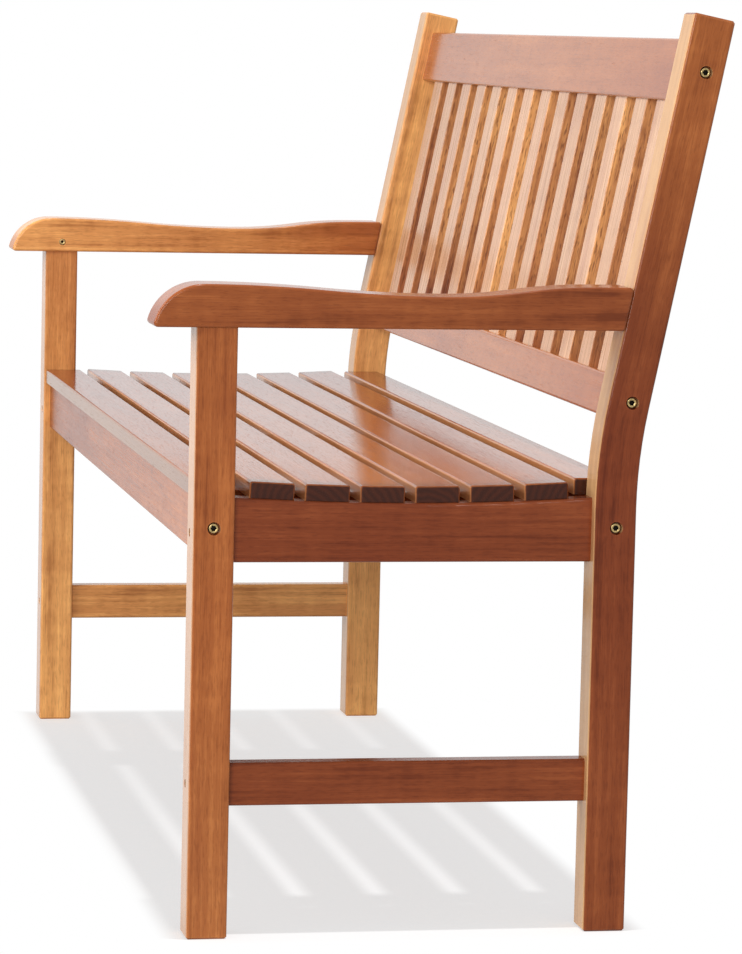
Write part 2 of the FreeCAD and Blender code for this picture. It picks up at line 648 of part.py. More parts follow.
def make_seat_slat(number):
    lean, y, z = slat_seat(number)
    inner_slat = number not in (1, SEAT_SLATS)
    length = "frame_length - 2 * slat_end_inset" if inner_slat else "%s - 2 * slat_end_gap" % CLEAR_LENGTH
    turn = FreeCAD.Rotation(X_AXIS, value(lean))
    body = new_body("seat_slat_%d_blank" % number, y=y, z=z, rotation=turn)
    pad(body, rectangle("(-slat_width / 2)", "0", "(slat_width / 2)", "slat_thickness"), length)
    round_edges(body, "slat_round_over", lambda box: box.ZMax > value("slat_thickness") / 2)
    return cut("seat_slat_%d" % number, body, slat_dowel_holes(number, up=True))


def make_side_rail():
    body = new_body("side_rail_blank", x=SIDE_RAIL_X)
    corners = rectangle("leg_depth", "side_rail_bottom", POST_FRONT, "seat_rail_top")
    pad(body, corners, "side_rail_thickness", {2: (DISH_RADIUS, SEAT_MIDDLE, DISH_Z)})
    round_edges(body, "round_over", lengthwise_on_side)
    add_tenons(body, "side_rail_bottom", "seat_rail_top")
    return cut("side_rail_left", body, [leg_screw_hole(*LEG_SCREWS[0])])


def make_side_stretcher():
    body = new_body("side_stretcher_blank", x=STRETCHER_X)
    corners = rectangle("leg_depth", "stretcher_bottom", POST_FRONT, STRETCHER_TOP)
    pad(body, corners, "stretcher_thickness")
    round_edges(body, "round_over", lengthwise_on_side)
    add_tenons(body, "stretcher_bottom", STRETCHER_TOP)
    return cut("side_stretcher_left", body, [leg_screw_hole(*LEG_SCREWS[1])])


# Bearers between the front and rear rails: one in the middle, and one near each end
BEARER_FRONT = "(front_rail_setback + cross_rail_thickness)"
BEARER_BACK = "(%s + rear_rail_setback)" % POST_FRONT
BEARER_DOWELS = ["(%s + bearer_dowel_spread)" % BEARER_Z, "(%s - bearer_dowel_spread)" % BEARER_Z]
BEARER_DRILLING = "(bearer_dowel_depth + dowel_end_room + overshoot)"


def dish_at(y):
    """Height of the dish at a depth."""
    return "(%s - sqrt(%s ^ 2 - (%s - %s) ^ 2))" % (DISH_Z, DISH_RADIUS, y, SEAT_MIDDLE)


def bearer_blank(label, x, width):
    """Bearer with a dished top, and a step under the first and the last slat."""
    body = new_body(label + "_blank", x=x)
    bottom = "(seat_rail_top - bearer_step - bearer_height)"
    step = "(seat_rail_top - bearer_step)"
    corners = [
        (BEARER_FRONT, bottom), (BEARER_BACK, bottom), (BEARER_BACK, step), (LAST_SLAT_FRONT, step),
        (LAST_SLAT_FRONT, dish_at(LAST_SLAT_FRONT)), (FIRST_SLAT_BACK, dish_at(FIRST_SLAT_BACK)),
        (FIRST_SLAT_BACK, step), (BEARER_FRONT, step),
    ]
    pad(body, corners, width, {4: (DISH_RADIUS, SEAT_MIDDLE, DISH_Z)})
    return body


def make_centre_bearer():
    body = bearer_blank("centre_bearer", "0", "bearer_width")
    tools = []
    for z in BEARER_DOWELS:
        tools.append(drill(DOWEL_HOLE, BEARER_DRILLING, "0", "(%s - overshoot)" % BEARER_FRONT, z, Y_AXIS))
        tools.append(drill(DOWEL_HOLE, BEARER_DRILLING, "0", "(%s + overshoot)" % BEARER_BACK, z, -Y_AXIS))
    for number in range(2, SEAT_SLATS):
        tools.append(slat_dowel_holes(number, up=False)[1])
    return cut("centre_bearer", body, tools)


def make_end_bearer():
    body = bearer_blank("end_bearer_left", END_BEARER_X, "end_bearer_width")
    tools = [slat_dowel_holes(number, up=False)[0] for number in range(2, SEAT_SLATS)]
    return cut("end_bearer_left", body, tools)


def make_cross_rail(label, y, slat, bearer_face, into_rail):
    """Front or rear rail under the first or last slat, with the bearer let against its inner face."""
    body = new_body(label + "_blank", y=y, z=CROSS_RAIL_Z)
    half_depth = "(cross_rail_thickness / 2)"
    half_height = "(cross_rail_height / 2)"
    corners = rectangle("(-%s)" % half_depth, "(-%s)" % half_height, half_depth, half_height)
    pad(body, corners, CLEAR_LENGTH)
    round_edges(body, "round_over", along_x)
    tools = rail_drilling(label) + slat_dowel_holes(slat, up=False)
    start = "(%s - %g * overshoot)" % (bearer_face, into_rail.y)
    for z in BEARER_DOWELS:
        tools.append(drill(DOWEL_HOLE, BEARER_DRILLING, "0", start, z, into_rail))
    return cut(label, body, tools)


# Back: two raked rails with the slats let into them
BACK_SLAT_SPAN = "(%s - 2 * back_slat_end_gap - back_slat_width)" % CLEAR_LENGTH


def back_slat_x(number):
    return "(%r * %s / %d)" % (number - (BACK_SLATS + 1) / 2, BACK_SLAT_SPAN, BACK_SLATS - 1)


BACK_SLAT_TOP = "(top_rail_drop + top_rail_height - back_slat_housing)"
BACK_SLAT_BOTTOM = "(%s + back_slat_housing)" % BOTTOM_RAIL_TOP


def housing(number, drop_low):
    """Hollow for the end of a back slat; the drop is where its lower end lies."""
    size = ("back_slat_width + 2 * joint_fit", "back_slat_thickness + 2 * joint_fit",
            "back_slat_housing + joint_fit + overshoot")
    depth = "(%s - back_slat_thickness / 2 - joint_fit)" % BACK_RAIL_MIDDLE
    y, z = raked_point(depth, drop_low)
    return block(size, "(%s - back_slat_width / 2 - joint_fit)" % back_slat_x(number), y, z, raked_turn())


def make_back_rail(label, drop, height, housing_drop):
    y, z = raked_point("0", "0")
    body = new_body(label + "_blank", y=y, z=z, rotation=raked_turn())
    back = "(back_rail_setback + back_rail_thickness)"
    corners = rectangle("back_rail_setback", "(-%s - %s)" % (drop, height), back, "(-%s)" % drop)
    pad(body, corners, CLEAR_LENGTH)
    round_edges(body, "round_over", along_x)
    tools = rail_drilling(label)
    for number in range(1, BACK_SLATS + 1):
        tools.append(housing(number, housing_drop))
    return cut(label, body, tools)


def make_back_slat(number):
    label = "back_slat_%02d" % number
    y, z = raked_point("0", "0")
    body = new_body(label, x=back_slat_x(number), y=y, z=z, rotation=raked_turn())
    front = "(%s - back_slat_thickness / 2)" % BACK_RAIL_MIDDLE
    back = "(%s + back_slat_thickness / 2)" % BACK_RAIL_MIDDLE
    pad(body, rectangle(front, "(-%s)" % BACK_SLAT_BOTTOM, back, "(-%s)" % BACK_SLAT_TOP), "back_slat_width")
    round_edges(body, "back_slat_round_over", lambda box: box.ZLength > value("back_slat_width"))
    return body


# Fasteners: one master of each kind, standing on the origin with its shank along -Z
def socket_fastener(label, diameter, length, head_diameter, head_height, socket, socket_depth):
    shank = doc.addObject("Part::Cylinder", label + "_shank")
    bind(shank, "Radius", diameter + " / 2")
    bind(shank, "Height", length)
    bind(shank, "Placement.Base.z", "-" + length)
    head = doc.addObject("Part::Cylinder", label + "_head")
    bind(head, "Radius", head_diameter + " / 2")
    bind(head, "Height", head_height)
    solid = doc.addObject("Part::Fuse", label + "_solid")
    solid.Base = head
    solid.Tool = shank
    hexagon = doc.addObject("Part::Prism", label + "_socket")
    hexagon.Polygon = 6
    bind(hexagon, "Circumradius", "%s / sqrt(3)" % socket)
    bind(hexagon, "Height", socket_depth + " + overshoot")
    bind(hexagon, "Placement.Base.z", "%s - %s" % (head_height, socket_depth))
    master = doc.addObject("Part::Cut", label)
    master.Base = solid
    master.Tool = hexagon
    return master


def make_barrel_nut():
    barrel = doc.addObject("Part::Cylinder", "nut_barrel")
    bind(barrel, "Radius", "nut_diameter / 2")
    bind(barrel, "Height", "nut_length")
    bind(barrel, "Placement.Base.z", "-nut_length / 2")
    thread = doc.addObject("Part::Cylinder", "nut_thread")
    bind(thread, "Radius", "bolt_diameter / 2 + thread_gap")
    bind(thread, "Height", "nut_diameter + 2 * overshoot")
    thread.Placement.Rotation = FreeCAD.Rotation(Z_AXIS, X_AXIS)
    bind(thread, "Placement.Base.x", "-nut_diameter / 2 - overshoot")
    master = doc.addObject("Part::Cut", "nut_master")
    master.Base = barrel
    master.Tool = thread
    return master


def make_dowel(label, diameter, low, high):
    dowel = doc.addObject("Part::Cylinder", label)
    bind(dowel, "Radius", diameter + " / 2")
    bind(dowel, "Height", "%s + %s" % (low, high))
    bind(dowel, "Placement.Base.z", "-" + low)
    core = doc.addObject("Part::Compound", label + "_core")
    core.Links = [dowel]
    return core


def make_fasteners():
    bolt = socket_fastener("bolt_master", "bolt_diameter", "bolt_length", "bolt_head_diameter",
                           "bolt_head_height", "bolt_socket", "bolt_socket_depth")
    leg_screw = socket_fastener("leg_screw_master", "screw_diameter", "leg_screw_length",
                                "screw_head_diameter", "screw_head_height", "screw_socket",
                                "screw_socket_depth")
    arm_screw = socket_fastener("arm_screw_master", "screw_diameter", "arm_screw_length",
                                "screw_head_diameter", "screw_head_height", "screw_socket",
                                "screw_socket_depth")
    nut = make_barrel_nut()
    frame_dowel = make_dowel("frame_dowel", "dowel_diameter", "dowel_depth", "dowel_depth")
    bearer_dowel = make_dowel("bearer_dowel", "dowel_diameter", "bearer_dowel_depth", "bearer_dowel_depth")
    slat_dowel = make_dowel("slat_dowel", "slat_dowel_diameter", "slat_dowel_down", "slat_dowel_up")

    bolts, nuts, dowels = [], [], []
    for (y, z), spread, way_in, _ in RAIL_JOINTS.values():
        bolts += [(x, y, z, outward) for x, outward in both_ends(BOLT_SEAT_X)]
        nuts += [(x, y, z, way_in) for x, outward in both_ends(NUT_X)]
        for dowel_y, dowel_z in spread:
            dowels += [(x, dowel_y, dowel_z, outward) for x, outward in both_ends(INNER_X)]
    arm_dowels = []
    for x, y, z in arm_dowel_places():
        arm_dowels += [(end_x, y, z, Y_AXIS) for end_x, outward in both_ends(x)]
    bearer_dowels = [("0", y, z, Y_AXIS) for y in (BEARER_FRONT, BEARER_BACK) for z in BEARER_DOWELS]
    slat_dowels = []
    for number in range(1, SEAT_SLATS + 1):
        slat_dowels += [(x, y, z, slat_up(number)) for x, y, z in slat_dowel_places(number)]
    leg_screws = []
    for place_x, z in LEG_SCREWS:
        leg_screws += [(x, SCREW_SINK, z, -Y_AXIS) for x, outward in both_ends(place_x)]
    screw_seat = "(%s + %s)" % (ARM_INNER_X, SCREW_SINK)
    arm_screws = [(x, "leg_depth / 2", ARM_SCREW_Z, -outward) for x, outward in both_ends(screw_seat)]
    return [
        copies("frame_bolts", bolt, bolts),
        copies("barrel_nuts", nut, nuts),
        copies("rail_dowels", frame_dowel, dowels),
        copies("arm_dowels", frame_dowel, arm_dowels),
        copies("bearer_dowels", bearer_dowel, bearer_dowels),
        copies("slat_dowels", slat_dowel, slat_dowels),
        copies("leg_screws", leg_screw, leg_screws),
        copies("arm_screws", arm_screw, arm_screws),
    ]


def build():
    """Every piece of the bench."""
    left = [make_front_leg(), make_rear_post(), make_armrest(), make_side_rail(), make_side_stretcher(),
            make_end_bearer()]
    pieces = left + [mirror(piece.Label.replace("_left", "_right"), piece) for piece in left]
    pieces.append(make_cross_rail("front_rail", FRONT_RAIL_Y, 1, BEARER_FRONT, -Y_AXIS))
    pieces.append(make_cross_rail("rear_rail", REAR_RAIL_Y, SEAT_SLATS, BEARER_BACK, Y_AXIS))
    pieces.append(make_centre_bearer())
    pieces += [make_seat_slat(number) for number in range(1, SEAT_SLATS + 1)]
    top_housing = "(top_rail_drop + top_rail_height + overshoot)"
    bottom_housing = "(%s + back_slat_housing + joint_fit)" % BOTTOM_RAIL_TOP
    pieces.append(make_back_rail("back_top_rail", "top_rail_drop", "top_rail_height", top_housing))
    pieces.append(make_back_rail("back_bottom_rail", BOTTOM_RAIL_TOP, "bottom_rail_height", bottom_housing))
    pieces += [make_back_slat(number) for number in range(1, BACK_SLATS + 1)]
    pieces += make_fasteners()
    return pieces


def check_model(pieces):
    """Stop if any object failed or any piece has no sound shape."""
    for item in doc.Objects:
        if "Invalid" in item.State or "Error" in item.State:
            raise RuntimeError("%s did not build: %s" % (item.Label, item.State))
    for piece in pieces:
        if piece.Shape.isNull() or not piece.Shape.isValid() or not piece.Shape.Solids:
            raise RuntimeError("%s has no sound shape" % piece.Label)


parts = build()
doc.recompute()
check_model(parts)
os.makedirs("parts", exist_ok=True)
for part in parts:
    part.Shape.exportStep("parts/%s.step" % part.Label)
    print("%s: %d solids, %.1f cm3" % (part.Label, len(part.Shape.Solids), part.Shape.Volume / 1000))
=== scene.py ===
import math
import random

import bmesh
import bpy
from bpy.props import FloatProperty, FloatVectorProperty, IntProperty, PointerProperty
from mathutils import Euler, Matrix, Vector


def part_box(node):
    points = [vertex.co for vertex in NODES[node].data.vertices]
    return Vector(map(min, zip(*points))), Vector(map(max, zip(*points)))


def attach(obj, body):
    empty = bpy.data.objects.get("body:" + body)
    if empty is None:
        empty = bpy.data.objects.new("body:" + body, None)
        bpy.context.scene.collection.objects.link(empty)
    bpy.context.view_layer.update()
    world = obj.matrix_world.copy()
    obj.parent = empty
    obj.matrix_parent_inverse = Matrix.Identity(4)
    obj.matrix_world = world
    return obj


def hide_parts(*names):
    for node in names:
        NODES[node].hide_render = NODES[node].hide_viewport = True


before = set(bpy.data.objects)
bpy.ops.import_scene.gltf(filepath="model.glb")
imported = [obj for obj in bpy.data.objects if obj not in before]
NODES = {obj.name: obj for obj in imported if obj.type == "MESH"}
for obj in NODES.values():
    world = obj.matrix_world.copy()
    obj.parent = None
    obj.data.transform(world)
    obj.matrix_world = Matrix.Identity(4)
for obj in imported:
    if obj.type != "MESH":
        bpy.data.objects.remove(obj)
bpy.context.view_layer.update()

bl_info = {
    "name": "Garden Bench Finish",
    "version": (1, 0, 0),
    "blender": (4, 5, 0),
    "location": "View3D > Sidebar > Bench",
    "description": "Oiled hardwood, brass fittings and a plain studio for a slatted garden bench",
    "category": "Object",
}

MM = 0.001
X_AXIS = Vector((1, 0, 0))
Y_AXIS = Vector((0, 1, 0))
Z_AXIS = Vector((0, 0, 1))

SEAT_SLATS = sorted(name for name in NODES if name.startswith("seat_slat_"))
BACK_SLATS = sorted(name for name in NODES if name.startswith("back_slat_"))
DOWELS = sorted(name for name in NODES if name.endswith("_dowels"))
LEG_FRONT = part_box("front_leg_left")[0].y
LEG_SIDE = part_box("front_leg_left")[1].x

# Photograph's frame, in pixels
FRAME_WIDTH = 742
FRAME_HEIGHT = 954


class BenchWoodSettings(bpy.types.PropertyGroup):
    """Colours and grain of the oiled hardwood."""

    red_brown: FloatVectorProperty(
        name="Red-brown", description="Darkest boards", subtype="COLOR",
        size=3, min=0, max=1, default=(0.225, 0.048, 0.014))
    orange_brown: FloatVectorProperty(
        name="Orange-brown", description="Middling boards", subtype="COLOR",
        size=3, min=0, max=1, default=(0.40, 0.115, 0.030))
    golden: FloatVectorProperty(
        name="Golden", description="Palest boards", subtype="COLOR",
        size=3, min=0, max=1, default=(0.74, 0.330, 0.105))
    # The next two colours are painted on front faces, which face the key lamp: a painted sheen
    pale_front_sheen: FloatVectorProperty(
        name="Pale face", description="Front faces of the back slats and the front legs",
        subtype="COLOR", size=3, min=0, max=1, default=(0.60, 0.330, 0.180))
    golden_front_sheen: FloatVectorProperty(
        name="Golden face", description="Front faces of the rear posts", subtype="COLOR",
        size=3, min=0, max=1, default=(0.66, 0.370, 0.165))
    # Colour painted on the seat slats' front faces: a painted highlight where they catch the light
    slat_front_highlight: FloatVectorProperty(
        name="Slat edge", description="Front edges of the seat slats", subtype="COLOR",
        size=3, min=0, max=1, default=(0.50, 0.215, 0.085))
    end_grain: FloatVectorProperty(
        name="End grain", description="Sawn ends of the seat slats", subtype="COLOR",
        size=3, min=0, max=1, default=(0.050, 0.010, 0.003))
    dowel: FloatVectorProperty(
        name="Dowel", description="Plain beech of the dowels", subtype="COLOR",
        size=3, min=0, max=1, default=(0.56, 0.38, 0.20))
    ring_spacing: FloatProperty(
        name="Ring spacing", description="Distance between growth rings", unit="LENGTH",
        min=0.001, max=0.05, default=7 * MM)
    gloss: FloatProperty(
        name="Oil roughness", description="Roughness of the oiled surface", subtype="FACTOR",
        min=0, max=1, default=0.17)
    # Width of the band along the edges that takes a painted highlight
    edge_highlight_width: FloatProperty(
        name="Highlighted edge", description="Width of the paler wood along the edges", unit="LENGTH",
        min=0.0005, max=0.01, default=2.5 * MM)
    lean: FloatProperty(
        name="Lean of the back", description="Angle of the back from upright", subtype="ANGLE",
        min=0, max=0.6, default=math.radians(11.2))
    bend_height: FloatProperty(
        name="Bend height", description="Where the grain of the rear posts begins to lean",
        unit="LENGTH", min=0, max=1, default=0.47)
    seed: IntProperty(
        name="Seed", description="Picks the tone and figure of each board",
        min=0, max=9999, default=21)


class BenchFittingSettings(bpy.types.PropertyGroup):
    """Colours and worked edges of the bolts and screws."""

    brass: FloatVectorProperty(
        name="Brass", description="Plated bolts and barrel nuts", subtype="COLOR",
        size=3, min=0, max=1, default=(0.46, 0.34, 0.150))
    tarnish: FloatVectorProperty(
        name="Tarnish", description="Dull patches on the brass", subtype="COLOR",
        size=3, min=0, max=1, default=(0.12, 0.085, 0.040))
    # Near-black colour painted into the hex sockets: painted shade
    socket_shade: FloatVectorProperty(
        name="Socket shade", description="Painted shade inside the hex sockets", subtype="COLOR",
        size=3, min=0, max=1, default=(0.012, 0.010, 0.008))
    rim: FloatProperty(
        name="Head rim", description="Rounding round the top of a head", unit="LENGTH",
        min=0, max=0.003, default=0.9 * MM)
    mouth: FloatProperty(
        name="Socket mouth", description="Lead-in round a hex socket", unit="LENGTH",
        min=0, max=0.002, default=0.35 * MM)
    bolt_shank: FloatProperty(
        name="Bolt shank", description="Radius of the bolts", unit="LENGTH",
        min=0.001, max=0.01, default=3 * MM)
    bolt_head: FloatProperty(
        name="Bolt head", description="Height of the bolt heads", unit="LENGTH",
        min=0.001, max=0.02, default=6 * MM)
    bolt_socket: FloatProperty(
        name="Bolt socket", description="Hex socket of the bolts across its flats", unit="LENGTH",
        min=0.001, max=0.01, default=5 * MM)
    bolt_depth: FloatProperty(
        name="Bolt socket depth", description="Depth of the bolts' sockets", unit="LENGTH",
        min=0.001, max=0.01, default=3 * MM)
    screw_shank: FloatProperty(
        name="Screw shank", description="Radius of the screws", unit="LENGTH",
        min=0.001, max=0.01, default=2 * MM)
    screw_head: FloatProperty(
        name="Screw head", description="Height of the screw heads", unit="LENGTH",
        min=0.001, max=0.02, default=3 * MM)
    screw_socket: FloatProperty(
        name="Screw socket", description="Hex socket of the screws across its flats", unit="LENGTH",
        min=0.001, max=0.01, default=3 * MM)
    screw_depth: FloatProperty(
        name="Screw socket depth", description="Depth of the screws' sockets", unit="LENGTH",
        min=0.001, max=0.01, default=2 * MM)


class BenchStageSettings(bpy.types.PropertyGroup):
    """Camera, floor and lamps."""

    camera_place: FloatVectorProperty(
        name="Camera", description="Place of the camera, with Y from the front of the legs",
        subtype="TRANSLATION", unit="LENGTH", size=3, default=(4.4775, -0.5845, 0.8763))
    yaw: FloatProperty(
        name="Yaw", description="Turn of the view from -X", subtype="ANGLE", default=0.195)
    pitch: FloatProperty(
        name="Pitch", description="Downward tilt of the view", subtype="ANGLE", default=0.109)
    roll: FloatProperty(
        name="Roll", description="Turn of the picture", subtype="ANGLE", default=0.023)
    focal_pixels: FloatProperty(
        name="Focal length", description="Focal length in pixels of the photograph's frame",
        min=100, max=20000, default=4088)
    floor_size: FloatProperty(
        name="Floor", description="Side of the floor", unit="LENGTH", min=1, max=50, default=9)
    floor_colour: FloatVectorProperty(
        name="Floor colour", description="Pale floor under the bench", subtype="COLOR",
        size=3, min=0, max=1, default=(0.80, 0.80, 0.80))
    shadow: FloatProperty(
        name="Floor shadow", description="How much of the light on the floor shows on top of its own white",
        subtype="FACTOR", min=0, max=1, default=0.53)
    floor_white: FloatProperty(
        name="Floor white", description="Brightness of the floor where no light reaches it",
        subtype="FACTOR", min=0, max=1, default=0.615)
    shadow_depth: FloatProperty(
        name="Shadow depth", description="Depth of the floor's shadow from the front of the legs",
        unit="LENGTH", min=0.1, max=2, default=0.436)
    shadow_fade: FloatProperty(
        name="Shadow fade", description="How far outside the feet the floor turns plain white",
        unit="LENGTH", min=0.001, max=2, default=0.028)
    fill: FloatProperty(
        name="Fill", description="Even light from all round", min=0, max=5, default=0.40)
    key: FloatProperty(
        name="Key lamp", description="Power of the soft lamp in front of the bench", subtype="POWER",
        min=0, max=500, default=50)
    side: FloatProperty(
        name="Side lamp", description="Power of the soft lamp at the near end", subtype="POWER",
        min=0, max=500, default=60)
    top: FloatProperty(
        name="Top light", description="Strength of the light straight from above",
        min=0, max=10, default=1.2)
    floor_lamp: FloatProperty(
        name="Floor lamp", description="Power of the small lamp that draws the shadow on the floor",
        subtype="POWER", min=0, max=500, default=27)
    floor_lamp_radius: FloatProperty(
        name="Floor lamp radius", description="Radius of the floor lamp, which softens the shadow",
        unit="LENGTH", min=0, max=1, default=0.022)
    floor_lamp_place: FloatVectorProperty(
        name="Floor lamp place", description="Place of the floor lamp, with Y from the front of the legs",
        subtype="TRANSLATION", unit="LENGTH", size=3, default=(0.715, 0.19, 1.275))


# Node helpers
def add_node(tree, kind, **sockets):
    """New node whose named inputs are set to a value or linked to a socket."""
    made = tree.nodes.new(kind)
    for name, value in sockets.items():
        connect(tree, made.inputs[name.replace("_", " ")], value)
    return made


def connect(tree, socket, value):
    if isinstance(value, bpy.types.NodeSocket):
        tree.links.new(value, socket)
    else:
        socket.default_value = value


def math_node(tree, operation, *values):
    made = tree.nodes.new("ShaderNodeMath")
    made.operation = operation
    for socket, value in zip(made.inputs, values):
        connect(tree, socket, value)
    return made.outputs[0]


def vector_node(tree, operation, *values):
    made = tree.nodes.new("ShaderNodeVectorMath")
    made.operation = operation
    for socket, value in zip(made.inputs, values):
        connect(tree, socket, value)
    return made.outputs["Value" if operation == "DOT_PRODUCT" else "Vector"]


def remap(tree, value, low, high, to_low=0.0, to_high=1.0):
    made = add_node(tree, "ShaderNodeMapRange", Value=value, From_Min=low, From_Max=high,
                    To_Min=to_low, To_Max=to_high)
    made.interpolation_type = "SMOOTHSTEP"
    return made.outputs[0]


def mix_colour(tree, factor, first, second, blend="MIX"):
    made = tree.nodes.new("ShaderNodeMix")
    made.data_type = "RGBA"
    made.blend_type = blend
    for index, value in ((0, factor), (6, first), (7, second)):
        connect(tree, made.inputs[index], value)
    return made.outputs[2]


def noise(tree, vector, stretch, detail, rough=0.55):
    """Noise on board coordinates, stretched along the grain."""
    scaled = vector_node(tree, "MULTIPLY", vector, stretch)
    made = add_node(tree, "ShaderNodeTexNoise", Vector=scaled, Scale=1.0, Detail=detail, Roughness=rough)
    return made.outputs["Fac"]


def rgba(colour):
    return (*colour, 1.0)


def shaded(colour, value):
    return tuple(min(1.0, channel * value) for channel in colour)


def tinted(colour, tint):
    return tuple(min(1.0, channel * value) for channel, value in zip(colour, tint))


def blended(first, second, share):
    return tuple(a + (b - a) * share for a, b in zip(first, second))


def new_material(name):
    material = bpy.data.materials.new(name)
    material.use_nodes = True
    tree = material.node_tree
    tree.nodes.clear()
    output = tree.nodes.new("ShaderNodeOutputMaterial")
    shader = tree.nodes.new("ShaderNodeBsdfPrincipled")
    tree.links.new(shader.outputs[0], output.inputs["Surface"])
    return material, tree, shader


# Wood: one shared figure, and for each board its own place in the log and its own tones
FIBRE = (9.0, 760.0, 760.0)
PORES = (46.0, 1400.0, 1400.0)
FLECKS = (85.0, 640.0, 640.0)
FIGURE = (5.0, 76.0, 76.0)
PATCHES = (3.2, 16.0, 16.0)
CURL = (44.0, 18.0, 18.0)
WANDER = (1.6, 7.0, 7.0)
WANDER_REACH = (0.0, 0.008, 0.008)
RINGS_PER_SCALE = 20 / (2 * math.pi)

# Share of each pattern in the light and dark of a board
FIGURE_SHARE = 0.60
FIBRE_SHARE = 0.24
CURL_SHARE = 0.22
RING_SHARE = 0.06

# Where that light and dark starts to show, and where it shows in full
DARK_RANGE = (0.55, 0.40)
BRIGHT_RANGE = (0.55, 0.70)
PORE_RANGE = (0.62, 0.74)
FLECK_RANGE = (0.52, 0.68)
PATCH_RANGE = (0.50, 0.72)

# How strongly patches, pores and the painted highlight along the edges show
PATCH_STRENGTH = 0.4
PORE_STRENGTH = 0.4
EDGE_HIGHLIGHT_STRENGTH = 0.55

# Tints that turn a board's own colour into its darker and paler markings
STREAK_TINT = (0.50, 0.38, 0.32, 1.0)
PALE_TINT = (1.40, 1.60, 1.70, 1.0)
PATCH_TINT = (0.64, 0.46, 0.50, 1.0)
FLECK_TINT = (0.36, 0.24, 0.20, 1.0)
SAWN_TINT = (0.72, 0.62, 0.58)
SAWN_DARK_TINT = (0.6, 0.6, 0.6, 1.0)
SAWN_PALE_TINT = (1.5, 1.5, 1.5, 1.0)


def wood_figure(wood):
    """Node group that gives colour, sheen and relief at a place in a board, with X along the grain."""
    group = bpy.data.node_groups.new("hardwood_figure", "ShaderNodeTree")
    for name, kind in (("Vector", "Vector"), ("Ends", "Float"), ("Edge", "Float"),
                       ("Flecks", "Float"), ("Contrast", "Float"), ("Gloss", "Float"),
                       ("Body", "Color"), ("End grain", "Color")):
        group.interface.new_socket(name, in_out="INPUT", socket_type="NodeSocket" + kind)
    for name, kind in (("Colour", "Color"), ("Roughness", "Float"), ("Relief", "Float")):
        group.interface.new_socket(name, in_out="OUTPUT", socket_type="NodeSocket" + kind)
    given = group.nodes.new("NodeGroupInput").outputs
    board = given["Vector"]

    scaled = vector_node(group, "MULTIPLY", board, WANDER)
    drift = add_node(group, "ShaderNodeTexNoise", Vector=scaled, Scale=1.0, Detail=2.0).outputs["Color"]
    drift = vector_node(group, "SUBTRACT", drift, (0.5, 0.5, 0.5))
    drift = vector_node(group, "MULTIPLY", drift, WANDER_REACH)
    wandering = vector_node(group, "ADD", board, drift)

    wave = add_node(group, "ShaderNodeTexWave", Vector=wandering, Distortion=2.4, Detail=2.0,
                    Detail_Scale=1.6, Scale=1 / (wood.ring_spacing * RINGS_PER_SCALE))
    wave.wave_type = "RINGS"
    wave.rings_direction = "X"
    rings = wave.outputs["Fac"]
    figure = noise(group, wandering, FIGURE, 5.0, 0.62)
    fibre = noise(group, wandering, FIBRE, 2.0, 0.6)
    curl = noise(group, wandering, CURL, 2.0)
    pores = remap(group, noise(group, wandering, PORES, 1.0), *PORE_RANGE)
    flecks = remap(group, noise(group, wandering, FLECKS, 2.0), *FLECK_RANGE)
    patches = remap(group, noise(group, board, PATCHES, 2.0), *PATCH_RANGE)

    streak = mix_colour(group, 1.0, given["Body"], STREAK_TINT, "MULTIPLY")
    pale = mix_colour(group, 1.0, given["Body"], PALE_TINT, "MULTIPLY")
    patch = mix_colour(group, 1.0, given["Body"], PATCH_TINT, "MULTIPLY")
    fleck = mix_colour(group, 1.0, given["Body"], FLECK_TINT, "MULTIPLY")
    tone = math_node(group, "MULTIPLY", figure, FIGURE_SHARE)
    tone = math_node(group, "MULTIPLY_ADD", fibre, FIBRE_SHARE, tone)
    tone = math_node(group, "MULTIPLY_ADD", curl, CURL_SHARE, tone)
    tone = math_node(group, "MULTIPLY_ADD", rings, RING_SHARE, tone)
    dark = math_node(group, "MULTIPLY", remap(group, tone, *DARK_RANGE), given["Contrast"])
    bright = math_node(group, "MULTIPLY", remap(group, tone, *BRIGHT_RANGE), given["Contrast"])
    colour = mix_colour(group, dark, given["Body"], streak)
    colour = mix_colour(group, bright, colour, pale)
    colour = mix_colour(group, math_node(group, "MULTIPLY", patches, PATCH_STRENGTH), colour, patch)
    flecked = math_node(group, "MAXIMUM", math_node(group, "MULTIPLY", flecks, given["Flecks"]),
                        math_node(group, "MULTIPLY", pores, PORE_STRENGTH))
    colour = mix_colour(group, flecked, colour, fleck)
    # Paler colour along the edges: a painted highlight, as where the rounded edges catch the light
    lifted = math_node(group, "MULTIPLY", given["Edge"], EDGE_HIGHLIGHT_STRENGTH)
    colour = mix_colour(group, lifted, colour, pale)

    sawn = math_node(group, "MULTIPLY_ADD", rings, 0.5, math_node(group, "MULTIPLY", fibre, 0.5))
    sawn_dark = mix_colour(group, 1.0, given["End grain"], SAWN_DARK_TINT, "MULTIPLY")
    sawn_pale = mix_colour(group, 1.0, given["End grain"], SAWN_PALE_TINT, "MULTIPLY")
    sawn = mix_colour(group, sawn, sawn_dark, sawn_pale)
    colour = mix_colour(group, given["Ends"], colour, sawn)

    # Smoother between the fibres, and rougher in the pores and on sawn ends
    rough = math_node(group, "SUBTRACT", given["Gloss"], 0.07)
    rough = math_node(group, "MULTIPLY_ADD", fibre, 0.14, rough)
    rough = math_node(group, "MULTIPLY_ADD", pores, 0.12, rough)
    rough = math_node(group, "MULTIPLY_ADD", given["Ends"], 0.1, rough)
    relief = math_node(group, "MULTIPLY_ADD", pores, -0.8, fibre)
    out = group.nodes.new("NodeGroupOutput")
    for name, value in (("Colour", colour), ("Roughness", rough), ("Relief", relief)):
        group.links.new(value, out.inputs[name])
    return group


